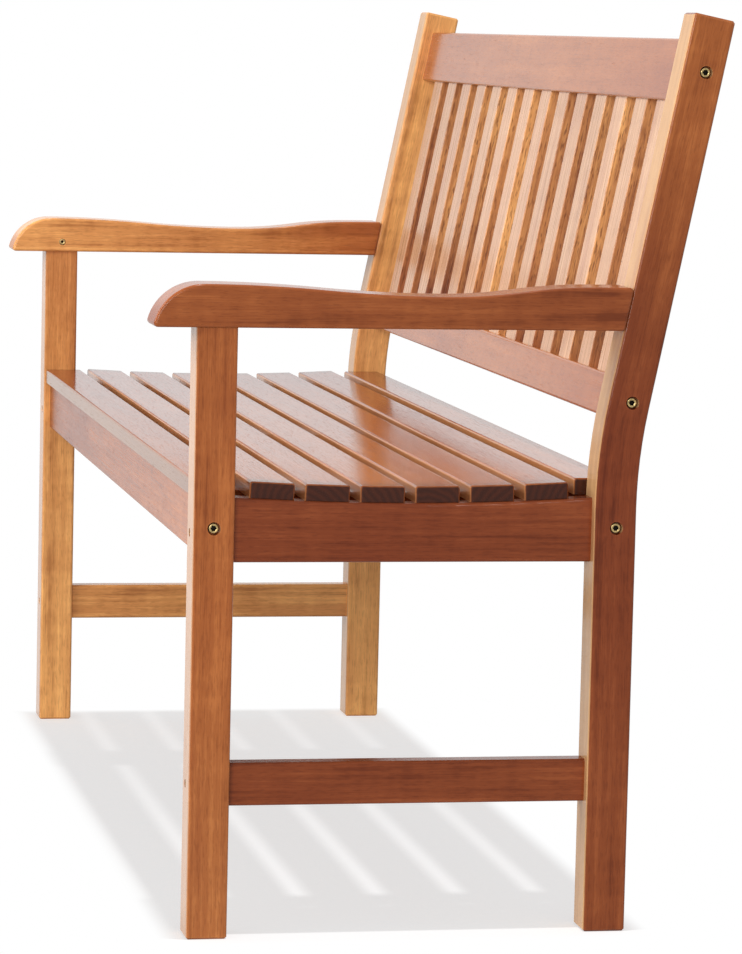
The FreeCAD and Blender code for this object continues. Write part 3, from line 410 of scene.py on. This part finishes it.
# How far a face looks along the grain to be an end, or forwards to be a front, which takes a painted sheen:
# from not at all to fully
END_FACING = (0.72, 0.96)
FRONT_FACING = (0.6, 0.9)

# Share of a board's flecks and contrast that its front face keeps under its painted sheen
FRONT_FLECKS = 0.2
FRONT_CONTRAST = 0.4

# A board's place in its log: distance from the pith, and reach along the log
PITH_DISTANCE = (0.03, 0.09)
LOG_REACH = (-4, 4)

# Lowest and highest tone that a board can have
TONE_LIMITS = (-0.1, 1.3)

# Match of a face's own and its rounded normal, from a flat face to an edge
EDGE_MATCH = (0.99, 0.80)

# Height over which the grain of a rear post turns at the bend
BEND_EASE = 0.12

# Turns that bring the grain of a board onto X
ALONG_X = Euler((0, 0, 0))
ALONG_Y = Euler((0, 0, -math.pi / 2))
ALONG_Z = Euler((0, math.pi / 2, 0))


def upright_lean(wood):
    """Turn for a board that leans with the back."""
    return Euler((wood.lean, math.pi / 2, 0))


def lengthwise_lean(wood):
    """Turn for a board that lies along X on the leaning back."""
    return Euler((wood.lean, 0, 0))


def bent_coordinates(tree, coordinates, wood):
    """Coordinates of a rear post whose grain follows its bend."""
    parts = add_node(tree, "ShaderNodeSeparateXYZ", Vector=coordinates).outputs
    above = math_node(tree, "SUBTRACT", parts["Z"], wood.bend_height)
    rise = math_node(tree, "SMOOTH_MAX", above, 0.0, BEND_EASE)
    back = math_node(tree, "MULTIPLY_ADD", rise, -math.tan(wood.lean), parts["Y"])
    return add_node(tree, "ShaderNodeCombineXYZ", X=parts["X"], Y=back, Z=parts["Z"]).outputs[0]


def board_colour(wood, tone, level):
    """Colour on the way from red-brown, at 0, over orange-brown, at 0.5, to golden, at 1."""
    lowest, highest = TONE_LIMITS
    if tone < 0.5:
        body = blended(wood.red_brown, wood.orange_brown, 2 * max(tone, lowest))
    else:
        body = blended(wood.orange_brown, wood.golden, 2 * min(tone, highest) - 1)
    return shaded(body, level)


def edge_highlight_mask(tree, wood):
    """1 on a board's edges, where a highlight is painted, and 0 on its flat faces."""
    rounded = add_node(tree, "ShaderNodeBevel", Radius=wood.edge_highlight_width)
    rounded.samples = 4
    straight = tree.nodes.new("ShaderNodeNewGeometry").outputs["Normal"]
    match = vector_node(tree, "DOT_PRODUCT", rounded.outputs[0], straight)
    return remap(tree, match, *EDGE_MATCH)


def board_material(node, turn, wood, tones, bent=False, spread=0.0, front=None, sawn=None,
                   flecks=0.25, contrast=1.0, gloss=None, ior=1.26):
    """Oiled hardwood for one board, cut from its own place in the log, with its tones along the grain,
    which for the side frames also carry painted light, and, when given, a painted sheen on its front faces.
    """
    draw = random.Random("%d %s" % (wood.seed, node))
    material, tree, shader = new_material("wood_" + node)
    low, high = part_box(node)
    middle = (low + high) / 2
    if bent:
        middle.y = low.y
    pith = draw.uniform(*PITH_DISTANCE)
    side = draw.uniform(0, 2 * math.pi)
    log_place = Vector((draw.uniform(*LOG_REACH), pith * math.cos(side), pith * math.sin(side)))
    level = 1 + 0.4 * spread * draw.uniform(-1, 1)
    shift = spread * draw.uniform(-1, 1)
    start, half, end = (board_colour(wood, tone + shift, level) for tone in tones)

    texture = tree.nodes.new("ShaderNodeTexCoord")
    coordinates = texture.outputs["Object"]
    if bent:
        coordinates = bent_coordinates(tree, coordinates, wood)
    mapping = add_node(tree, "ShaderNodeMapping", Vector=coordinates, Rotation=turn,
                       Location=log_place - turn.to_matrix() @ middle)
    grain_way = turn.to_matrix().transposed() @ X_AXIS
    facing = vector_node(tree, "DOT_PRODUCT", texture.outputs["Normal"], tuple(grain_way))
    ends = remap(tree, math_node(tree, "ABSOLUTE", facing), *END_FACING)

    along = vector_node(tree, "DOT_PRODUCT", texture.outputs["Object"], tuple(grain_way))
    reach = [grain_way.dot(corner) for corner in (low, middle, high)]
    body = mix_colour(tree, remap(tree, along, reach[0], reach[1]), rgba(start), rgba(half))
    body = mix_colour(tree, remap(tree, along, reach[1], reach[2]), body, rgba(end))
    # Front faces, turned to the key lamp, take a paler colour with less grain: a painted sheen
    if front:
        front_sheen_mask = vector_node(tree, "DOT_PRODUCT", texture.outputs["Normal"], (0.0, -1.0, 0.0))
        front_sheen_mask = remap(tree, front_sheen_mask, *FRONT_FACING)
        body = mix_colour(tree, front_sheen_mask, body, rgba(shaded(front, level)))
        flecks = remap(tree, front_sheen_mask, 0.0, 1.0, flecks, FRONT_FLECKS * flecks)
        contrast = remap(tree, front_sheen_mask, 0.0, 1.0, contrast, FRONT_CONTRAST * contrast)

    figure = tree.nodes.new("ShaderNodeGroup")
    figure.node_tree = bpy.data.node_groups["hardwood_figure"]
    for name, value in (("Vector", mapping.outputs[0]), ("Ends", ends), ("Edge", edge_highlight_mask(tree, wood)),
                        ("Flecks", flecks), ("Contrast", contrast), ("Gloss", gloss or wood.gloss),
                        ("Body", body), ("End grain", rgba(sawn or tinted(half, SAWN_TINT)))):
        connect(tree, figure.inputs[name], value)

    relief = add_node(tree, "ShaderNodeBump", Height=figure.outputs["Relief"], Strength=0.12,
                      Distance=0.3 * MM)
    tree.links.new(figure.outputs["Colour"], shader.inputs["Base Color"])
    tree.links.new(figure.outputs["Roughness"], shader.inputs["Roughness"])
    tree.links.new(relief.outputs[0], shader.inputs["Normal"])
    shader.inputs["IOR"].default_value = ior
    return material


def finish_board(node, turn, wood, tones, **finish):
    material = board_material(node, turn, wood, tones, **finish)
    for slot in NODES[node].material_slots:
        slot.material = material


# Face attribute that is 1 inside the hex sockets, whose shade is painted near black
SOCKET_SHADE_LAYER = "socket_shade"

# Patterns of the plated metal, the same in every direction
TARNISH_PATCHES = (420.0, 420.0, 420.0)
TURNING_MARKS = (2600.0, 2600.0, 2600.0)


def metal_material(name, bright, dull, socket_shade, rough):
    """Plated metal with dull patches, fine turning marks and painted shade, near black, in its sockets."""
    material, tree, shader = new_material(name)
    coordinates = tree.nodes.new("ShaderNodeTexCoord").outputs["Object"]
    patches = remap(tree, noise(tree, coordinates, TARNISH_PATCHES, 4.0), 0.42, 0.68)
    marks = noise(tree, coordinates, TURNING_MARKS, 2.0)
    colour = mix_colour(tree, math_node(tree, "MULTIPLY", patches, 0.75), rgba(bright), rgba(dull))
    # Painted shade: the faces inside the sockets turn near black
    socket_shade_mask = tree.nodes.new("ShaderNodeAttribute")
    socket_shade_mask.attribute_name = SOCKET_SHADE_LAYER
    colour = mix_colour(tree, socket_shade_mask.outputs["Fac"], colour, rgba(socket_shade))
    tree.links.new(colour, shader.inputs["Base Color"])
    lifted = math_node(tree, "MULTIPLY_ADD", patches, 0.25, rough)
    lifted = math_node(tree, "MULTIPLY_ADD", socket_shade_mask.outputs["Fac"], 0.3, lifted)
    tree.links.new(math_node(tree, "MULTIPLY_ADD", marks, 0.1, lifted), shader.inputs["Roughness"])
    bump = add_node(tree, "ShaderNodeBump", Height=marks, Strength=0.15, Distance=0.1 * MM)
    tree.links.new(bump.outputs[0], shader.inputs["Normal"])
    shader.inputs["Metallic"].default_value = 1.0
    return material


# Fittings: steps of a rounded rim, corners of a socket, and cuts that make its side part of a circle
RIM_STEPS = 3
SOCKET_CORNERS = 6
SIDE_CUTS = 7
CRISP_ANGLE = math.radians(35)


def islands(node):
    """Lowest and highest corners of each separate solid of a node."""
    bm = bmesh.new()
    bm.from_mesh(NODES[node].data)
    bmesh.ops.remove_doubles(bm, verts=bm.verts, dist=0.001 * MM)
    waiting = set(bm.verts)
    found = []
    while waiting:
        reached = [waiting.pop()]
        for vert in reached:
            near = {edge.other_vert(vert) for edge in vert.link_edges} & waiting
            waiting -= near
            reached.extend(near)
        corners = [vert.co for vert in reached]
        low = Vector([min(co[axis] for co in corners) for axis in range(3)])
        high = Vector([max(co[axis] for co in corners) for axis in range(3)])
        found.append((low, high))
    bm.free()
    return sorted(found, key=lambda corners: tuple(corners[0]))


def open_rim(bm):
    """Edges round the one open mouth of a mesh."""
    return [edge for edge in bm.edges if len(edge.link_faces) == 1]


def grow_ring(bm, radius, height):
    """Extrude the open rim to a circle round Z."""
    grown = bmesh.ops.extrude_edge_only(bm, edges=open_rim(bm))["geom"]
    for vert in (item for item in grown if isinstance(item, bmesh.types.BMVert)):
        spoke = Vector((vert.co.x, vert.co.y, 0)).normalized() * radius
        vert.co = (spoke.x, spoke.y, height)


def socket_fastener(place, way, length, head_radius, head, shank, socket, depth, fittings):
    """Mesh of a bolt or screw with a hex socket, whose head stands on the place and faces along the way."""
    bm = bmesh.new()
    corner = socket / math.sqrt(3)
    bmesh.ops.create_circle(bm, cap_ends=True, segments=SOCKET_CORNERS, radius=corner)
    bmesh.ops.translate(bm, verts=bm.verts, vec=(0, 0, head - depth))
    wall = bmesh.ops.extrude_edge_only(bm, edges=open_rim(bm))["geom"]
    top = [item for item in wall if isinstance(item, bmesh.types.BMVert)]
    bmesh.ops.translate(bm, verts=top, vec=(0, 0, depth - fittings.mouth))
    # Faces inside the socket are marked for their painted shade
    socket_shade_mask = bm.faces.layers.float.new(SOCKET_SHADE_LAYER)
    for face in bm.faces:
        face[socket_shade_mask] = 1.0
    bmesh.ops.subdivide_edges(bm, edges=open_rim(bm), cuts=SIDE_CUTS)
    inside = set(bm.faces)
    grow_ring(bm, corner + fittings.mouth, head)
    grow_ring(bm, head_radius - fittings.rim, head)
    for step in range(1, RIM_STEPS + 1):
        angle = math.pi / 2 * step / RIM_STEPS
        grow_ring(bm, head_radius - fittings.rim * (1 - math.sin(angle)),
                  head - fittings.rim * (1 - math.cos(angle)))
    grow_ring(bm, head_radius, 0)
    grow_ring(bm, shank, 0)
    grow_ring(bm, shank, -length)
    bmesh.ops.contextual_create(bm, geom=open_rim(bm))
    for face in set(bm.faces) - inside:
        face[socket_shade_mask] = 0.0
    bmesh.ops.recalc_face_normals(bm, faces=bm.faces)
    turn = Z_AXIS.rotation_difference(way).to_matrix().to_4x4()
    bmesh.ops.transform(bm, matrix=Matrix.Translation(place) @ turn, verts=bm.verts)
    mesh = bpy.data.meshes.new("fastener")
    bm.to_mesh(mesh)
    bm.free()
    return mesh


def finished_piece(name, meshes, material, node):
    """Object for a new piece that stands for a node, with smooth faces and crisp edges."""
    bm = bmesh.new()
    bm.faces.layers.float.new(SOCKET_SHADE_LAYER)
    for part in meshes:
        bm.from_mesh(part)
        bpy.data.meshes.remove(part)
    mesh = bpy.data.meshes.new(name)
    bm.to_mesh(mesh)
    bm.free()
    mesh.shade_smooth()
    mesh.set_sharp_from_angle(angle=CRISP_ANGLE)
    mesh.materials.append(material)
    piece = bpy.data.objects.new(name, mesh)
    bpy.context.scene.collection.objects.link(piece)
    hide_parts(node)
    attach(piece, "root")
    return piece


# Tones of a board at the start, the middle and the end of its grain, which runs upwards, to the rear
# or to the sitter's left: red-brown at 0, orange-brown at 0.5 and golden at 1
SIDE_FRAME_BOARDS = (("front_leg_", ALONG_Z), ("armrest_", ALONG_Y), ("side_rail_", ALONG_Y),
                     ("side_stretcher_", ALONG_Y), ("end_bearer_", ALONG_Y))
# Partly the wood's own tone, partly painted light: the right boards, on the far side, are set paler and the
# left boards darker, and the lower far pieces are raised where shade falls under the seat
SIDE_FRAME_TONES_AND_LIGHT = {
    "front_leg_left": (0.58, 0.50, 0.46), "rear_post_left": (0.12, -0.03, 0.50),
    "armrest_left": (0.30, 0.24, 0.14), "side_rail_left": (0.0, -0.02, 0.02),
    "side_stretcher_left": (0.06, 0.04, 0.06), "end_bearer_left": (0.1, 0.1, 0.1),
    "front_leg_right": (1.25, 0.94, 0.70), "rear_post_right": (1.3, 1.05, 1.12),
    "armrest_right": (1.06, 0.84, 0.48), "side_rail_right": (0.5, 0.5, 0.5),
    "side_stretcher_right": (0.86, 0.95, 1.2), "end_bearer_right": (0.4, 0.4, 0.4),
}
SIDE_FRAME_CONTRAST = 0.7


class BENCH_OT_side_frames(bpy.types.Operator):
    """Give the legs, posts, armrests, side rails, stretchers and end bearers their oiled wood"""

    bl_idname = "bench.side_frames"
    bl_label = "Finish Side Frames"

    def execute(self, context):
        wood = context.scene.bench_wood
        wood_figure(wood)
        for end in ("left", "right"):
            for name, turn in SIDE_FRAME_BOARDS:
                # Front legs and rear posts take a painted sheen on their front faces
                front = wood.pale_front_sheen if name == "front_leg_" else None
                finish_board(name + end, turn, wood, SIDE_FRAME_TONES_AND_LIGHT[name + end], front=front,
                             contrast=SIDE_FRAME_CONTRAST)
            post = "rear_post_" + end
            finish_board(post, ALONG_Z, wood, SIDE_FRAME_TONES_AND_LIGHT[post], bent=True, front=wood.golden_front_sheen,
                         contrast=SIDE_FRAME_CONTRAST)
        return {"FINISHED"}


# Seat slats run darker towards the -X end and paler towards the +X end
SEAT_SLAT_TONES = (-0.08, 0.15, 0.36)
LONG_RAIL_TONES = (0.12, 0.3, 0.5)
BEARER_TONES = (0.1, 0.1, 0.1)

# Share of the painted highlight on the seat slats' front faces that the first slat keeps, since its front
# stands open to the lamp
FIRST_SLAT_HIGHLIGHT = 0.55


class BENCH_OT_seat(bpy.types.Operator):
    """Give the seat slats, their rails and the centre bearer their oiled wood"""

    bl_idname = "bench.seat"
    bl_label = "Finish Seat"

    def execute(self, context):
        wood = context.scene.bench_wood
        for name in SEAT_SLATS:
            # Seat slats take a painted highlight on their front faces, weaker on the first slat
            edge = shaded(wood.slat_front_highlight, FIRST_SLAT_HIGHLIGHT if name == SEAT_SLATS[0] else 1.0)
            finish_board(name, ALONG_X, wood, SEAT_SLAT_TONES, spread=0.08, front=edge,
                         sawn=wood.end_grain, contrast=0.6, gloss=0.13, ior=1.3)
        for name in ("front_rail", "rear_rail"):
            finish_board(name, ALONG_X, wood, LONG_RAIL_TONES, contrast=0.6, gloss=0.24)
        finish_board("centre_bearer", ALONG_Y, wood, BEARER_TONES)
        return {"FINISHED"}


BACK_SLAT_TONES = (0.66, 0.77, 0.90)
DARK_FOOT_SLATS = ("back_slat_03", "back_slat_04")
DARK_FOOT_TONES = (-0.1, 0.75, 0.90)
BACK_RAIL_TONES = (0.5, 0.55, 0.5)


class BENCH_OT_back(bpy.types.Operator):
    """Give the back slats and their rails their oiled wood"""

    bl_idname = "bench.back"
    bl_label = "Finish Back"

    def execute(self, context):
        wood = context.scene.bench_wood
        for name in BACK_SLATS:
            dark_foot = name in DARK_FOOT_SLATS
            tones = DARK_FOOT_TONES if dark_foot else BACK_SLAT_TONES
            # Back slats take a painted sheen on their front faces
            finish_board(name, upright_lean(wood), wood, tones, spread=0.02 if dark_foot else 0.2,
                         front=wood.pale_front_sheen, flecks=0.8, gloss=0.28, ior=1.45)
        for name in ("back_top_rail", "back_bottom_rail"):
            finish_board(name, lengthwise_lean(wood), wood, BACK_RAIL_TONES, contrast=0.35, ior=1.45)
        return {"FINISHED"}


DOWEL_FLECKS = (300.0, 300.0, 300.0)


class BENCH_OT_dowels(bpy.types.Operator):
    """Give the dowels inside the joints their plain beech"""

    bl_idname = "bench.dowels"
    bl_label = "Finish Dowels"

    def execute(self, context):
        wood = context.scene.bench_wood
        material, tree, shader = new_material("dowel_beech")
        coordinates = tree.nodes.new("ShaderNodeTexCoord").outputs["Object"]
        flecks = noise(tree, coordinates, DOWEL_FLECKS, 3.0)
        colour = mix_colour(tree, flecks, rgba(wood.dowel), rgba(shaded(wood.dowel, 0.7)))
        tree.links.new(colour, shader.inputs["Base Color"])
        shader.inputs["Roughness"].default_value = 0.6
        for name in DOWELS:
            for slot in NODES[name].material_slots:
                slot.material = material
        return {"FINISHED"}


class BENCH_OT_bolts(bpy.types.Operator):
    """Model the brass frame bolts and finish their barrel nuts"""

    bl_idname = "bench.bolts"
    bl_label = "Fit Bolts"

    def execute(self, context):
        fittings = context.scene.bench_fittings
        brass = metal_material("plated_brass", fittings.brass, fittings.tarnish, fittings.socket_shade, 0.24)
        bolts = []
        for low, high in islands("frame_bolts"):
            middle = (low + high) / 2
            way = X_AXIS if middle.x > 0 else -X_AXIS
            reach = (high.x - low.x) / 2
            seat = middle + way * (reach - fittings.bolt_head)
            length = 2 * reach - fittings.bolt_head
            bolts.append(socket_fastener(seat, way, length, (high.z - low.z) / 2, fittings.bolt_head,
                                         fittings.bolt_shank, fittings.bolt_socket,
                                         fittings.bolt_depth, fittings))
        finished_piece("brass_frame_bolts", bolts, brass, "frame_bolts")
        for slot in NODES["barrel_nuts"].material_slots:
            slot.material = brass
        return {"FINISHED"}


class BENCH_OT_screws(bpy.types.Operator):
    """Model the brass screws of the front legs and the armrests"""

    bl_idname = "bench.screws"
    bl_label = "Fit Screws"

    def execute(self, context):
        fittings = context.scene.bench_fittings
        brass = bpy.data.materials["plated_brass"]
        for node, axis in (("leg_screws", 1), ("arm_screws", 0)):
            screws = []
            for low, high in islands(node):
                middle = (low + high) / 2
                way = -Y_AXIS
                if node == "arm_screws":
                    way = -X_AXIS if middle.x > 0 else X_AXIS
                reach = (high[axis] - low[axis]) / 2
                seat = middle + way * (reach - fittings.screw_head)
                length = 2 * reach - fittings.screw_head
                screws.append(socket_fastener(seat, way, length, (high.z - low.z) / 2, fittings.screw_head,
                                              fittings.screw_shank, fittings.screw_socket,
                                              fittings.screw_depth, fittings))
            finished_piece("brass_" + node, screws, brass, node)
        return {"FINISHED"}


# Stage: places of the lamps and what they are turned to
KEY_LAMP = ((0.25, -2.2, 1.6), (-0.1, 0.0, 0.5))
SIDE_LAMP = ((3.6, -1.2, 1.3), (0.3, 0.0, 0.4))
TOP_LIGHT = ((0.0, 0.08, 3.0), (0.0, 0.0, 0.0))
LAMP_SIZE = 1.4
TOP_SPREAD = math.radians(1.8)
SENSOR_WIDTH = 36


def view_camera(stage):
    """Camera at the photograph's place, with its picture's axes worked out from yaw, pitch and roll."""
    flat = math.cos(stage.pitch)
    ahead = Vector((-math.cos(stage.yaw) * flat, math.sin(stage.yaw) * flat, -math.sin(stage.pitch)))
    level = ahead.cross(Z_AXIS).normalized()
    upward = level.cross(ahead)
    right = level * math.cos(stage.roll) + upward * math.sin(stage.roll)
    up = upward * math.cos(stage.roll) - level * math.sin(stage.roll)
    data = bpy.data.cameras.new("bench_camera")
    data.sensor_width = SENSOR_WIDTH
    data.lens = stage.focal_pixels * SENSOR_WIDTH / max(FRAME_WIDTH, FRAME_HEIGHT)
    camera = bpy.data.objects.new("bench_camera", data)
    place = Vector(stage.camera_place) + Vector((0, LEG_FRONT, 0))
    axes = Matrix((right, up, -ahead)).transposed().to_4x4()
    camera.matrix_world = Matrix.Translation(place) @ axes
    bpy.context.scene.collection.objects.link(camera)
    bpy.context.scene.camera = camera


def seen_white(tree):
    """1 for what the camera, a reflection or clear matter sees, and 0 for light that falls on matter."""
    path = tree.nodes.new("ShaderNodeLightPath").outputs
    seen = math_node(tree, "MAXIMUM", path["Is Camera Ray"], path["Is Glossy Ray"])
    return math_node(tree, "MAXIMUM", seen, path["Is Transmission Ray"])


def pale_floor(stage):
    """Floor that is white to the eye and still takes part of the bench's shadow."""
    material = bpy.data.materials.new("pale_floor")
    material.use_nodes = True
    tree = material.node_tree
    tree.nodes.clear()
    matte = add_node(tree, "ShaderNodeBsdfDiffuse", Color=rgba(stage.floor_colour))
    soft = add_node(tree, "ShaderNodeBsdfDiffuse", Color=rgba((stage.shadow,) * 3))
    glow = add_node(tree, "ShaderNodeEmission", Color=(1, 1, 1, 1), Strength=stage.floor_white)
    shadowed = add_node(tree, "ShaderNodeAddShader")
    tree.links.new(soft.outputs[0], shadowed.inputs[0])
    tree.links.new(glow.outputs[0], shadowed.inputs[1])
    place = tree.nodes.new("ShaderNodeTexCoord").outputs["Object"]
    parts = add_node(tree, "ShaderNodeSeparateXYZ", Vector=place).outputs
    beside = math_node(tree, "SUBTRACT", math_node(tree, "ABSOLUTE", parts["X"]), LEG_SIDE)
    before = math_node(tree, "SUBTRACT", LEG_FRONT, parts["Y"])
    behind = math_node(tree, "SUBTRACT", parts["Y"], LEG_FRONT + stage.shadow_depth)
    outside = math_node(tree, "MAXIMUM", beside, math_node(tree, "MAXIMUM", before, behind))
    away = remap(tree, outside, 0.0, stage.shadow_fade)
    plain = add_node(tree, "ShaderNodeEmission", Color=(1, 1, 1, 1), Strength=1.0)
    white = add_node(tree, "ShaderNodeMixShader", Fac=away)
    tree.links.new(shadowed.outputs[0], white.inputs[1])
    tree.links.new(plain.outputs[0], white.inputs[2])
    mixed = add_node(tree, "ShaderNodeMixShader", Fac=seen_white(tree))
    tree.links.new(matte.outputs[0], mixed.inputs[1])
    tree.links.new(white.outputs[0], mixed.inputs[2])
    output = tree.nodes.new("ShaderNodeOutputMaterial")
    tree.links.new(mixed.outputs[0], output.inputs["Surface"])
    bm = bmesh.new()
    bmesh.ops.create_grid(bm, x_segments=1, y_segments=1, size=stage.floor_size / 2)
    mesh = bpy.data.meshes.new("floor")
    bm.to_mesh(mesh)
    bm.free()
    mesh.materials.append(material)
    floor = bpy.data.objects.new("floor", mesh)
    bpy.context.scene.collection.objects.link(floor)
    return floor


def studio_world(stage):
    """Even light from all round, behind a white backdrop."""
    world = bpy.data.worlds.new("studio")
    world.use_nodes = True
    tree = world.node_tree
    tree.nodes.clear()
    fill = add_node(tree, "ShaderNodeBackground", Color=(1, 1, 1, 1), Strength=stage.fill)
    white = add_node(tree, "ShaderNodeBackground", Color=(1, 1, 1, 1), Strength=1.0)
    mixed = add_node(tree, "ShaderNodeMixShader", Fac=seen_white(tree))
    tree.links.new(fill.outputs[0], mixed.inputs[1])
    tree.links.new(white.outputs[0], mixed.inputs[2])
    output = tree.nodes.new("ShaderNodeOutputWorld")
    tree.links.new(mixed.outputs[0], output.inputs["Surface"])
    bpy.context.scene.world = world


def add_lamp(name, kind, place, target, **settings):
    data = bpy.data.lights.new(name, kind)
    for setting, value in settings.items():
        setattr(data, setting, value)
    lamp = bpy.data.objects.new(name, data)
    aim = Vector(target) - Vector(place)
    lamp.matrix_world = Matrix.Translation(place) @ aim.to_track_quat("-Z", "Y").to_matrix().to_4x4()
    bpy.context.scene.collection.objects.link(lamp)
    return lamp


def choose_floor(state, floor, lamps):
    """Let lamps light the floor alone, for INCLUDE, or all but the floor, for EXCLUDE."""
    chosen = bpy.data.collections.new("floor_" + state.lower())
    chosen.objects.link(floor)
    chosen.collection_objects[0].light_linking.link_state = state
    for lamp in lamps:
        lamp.light_linking.receiver_collection = chosen


class BENCH_OT_stage(bpy.types.Operator):
    """Set the floor, the backdrop, the lamps and the camera"""

    bl_idname = "bench.stage"
    bl_label = "Set Stage"

    def execute(self, context):
        stage = context.scene.bench_stage
        floor = pale_floor(stage)
        studio_world(stage)
        key = add_lamp("key_lamp", "AREA", *KEY_LAMP, energy=stage.key, size=LAMP_SIZE)
        side = add_lamp("side_lamp", "AREA", *SIDE_LAMP, energy=stage.side, size=LAMP_SIZE)
        top = add_lamp("top_light", "SUN", *TOP_LIGHT, energy=stage.top, angle=TOP_SPREAD)
        above = Vector(stage.floor_lamp_place) + Vector((0, LEG_FRONT, 0))
        shadow = add_lamp("floor_lamp", "POINT", above, (above.x, above.y, 0.0), energy=stage.floor_lamp,
                          shadow_soft_size=stage.floor_lamp_radius)
        choose_floor("EXCLUDE", floor, (key, side, top))
        choose_floor("INCLUDE", floor, (shadow,))
        view_camera(stage)
        context.scene.view_settings.view_transform = "Standard"
        return {"FINISHED"}


class BENCH_PT_panel(bpy.types.Panel):
    """Steps that finish the bench, in order"""

    bl_idname = "BENCH_PT_panel"
    bl_label = "Garden Bench"
    bl_space_type = "VIEW_3D"
    bl_region_type = "UI"
    bl_category = "Bench"

    def draw(self, context):
        for operator in OPERATORS:
            self.layout.operator(operator.bl_idname)


OPERATORS = (BENCH_OT_side_frames, BENCH_OT_seat, BENCH_OT_back, BENCH_OT_dowels, BENCH_OT_bolts,
             BENCH_OT_screws, BENCH_OT_stage)
CLASSES = (BenchWoodSettings, BenchFittingSettings, BenchStageSettings, *OPERATORS, BENCH_PT_panel)


def register():
    for item in CLASSES:
        bpy.utils.register_class(item)
    bpy.types.Scene.bench_wood = PointerProperty(type=BenchWoodSettings)
    bpy.types.Scene.bench_fittings = PointerProperty(type=BenchFittingSettings)
    bpy.types.Scene.bench_stage = PointerProperty(type=BenchStageSettings)


def unregister():
    del bpy.types.Scene.bench_stage
    del bpy.types.Scene.bench_fittings
    del bpy.types.Scene.bench_wood
    for item in reversed(CLASSES):
        bpy.utils.unregister_class(item)


def main():
    register()
    bpy.ops.bench.side_frames()
    bpy.ops.bench.seat()
    bpy.ops.bench.back()
    bpy.ops.bench.dowels()
    bpy.ops.bench.bolts()
    bpy.ops.bench.screws()
    bpy.ops.bench.stage()


if __name__ == "__main__":
    main()
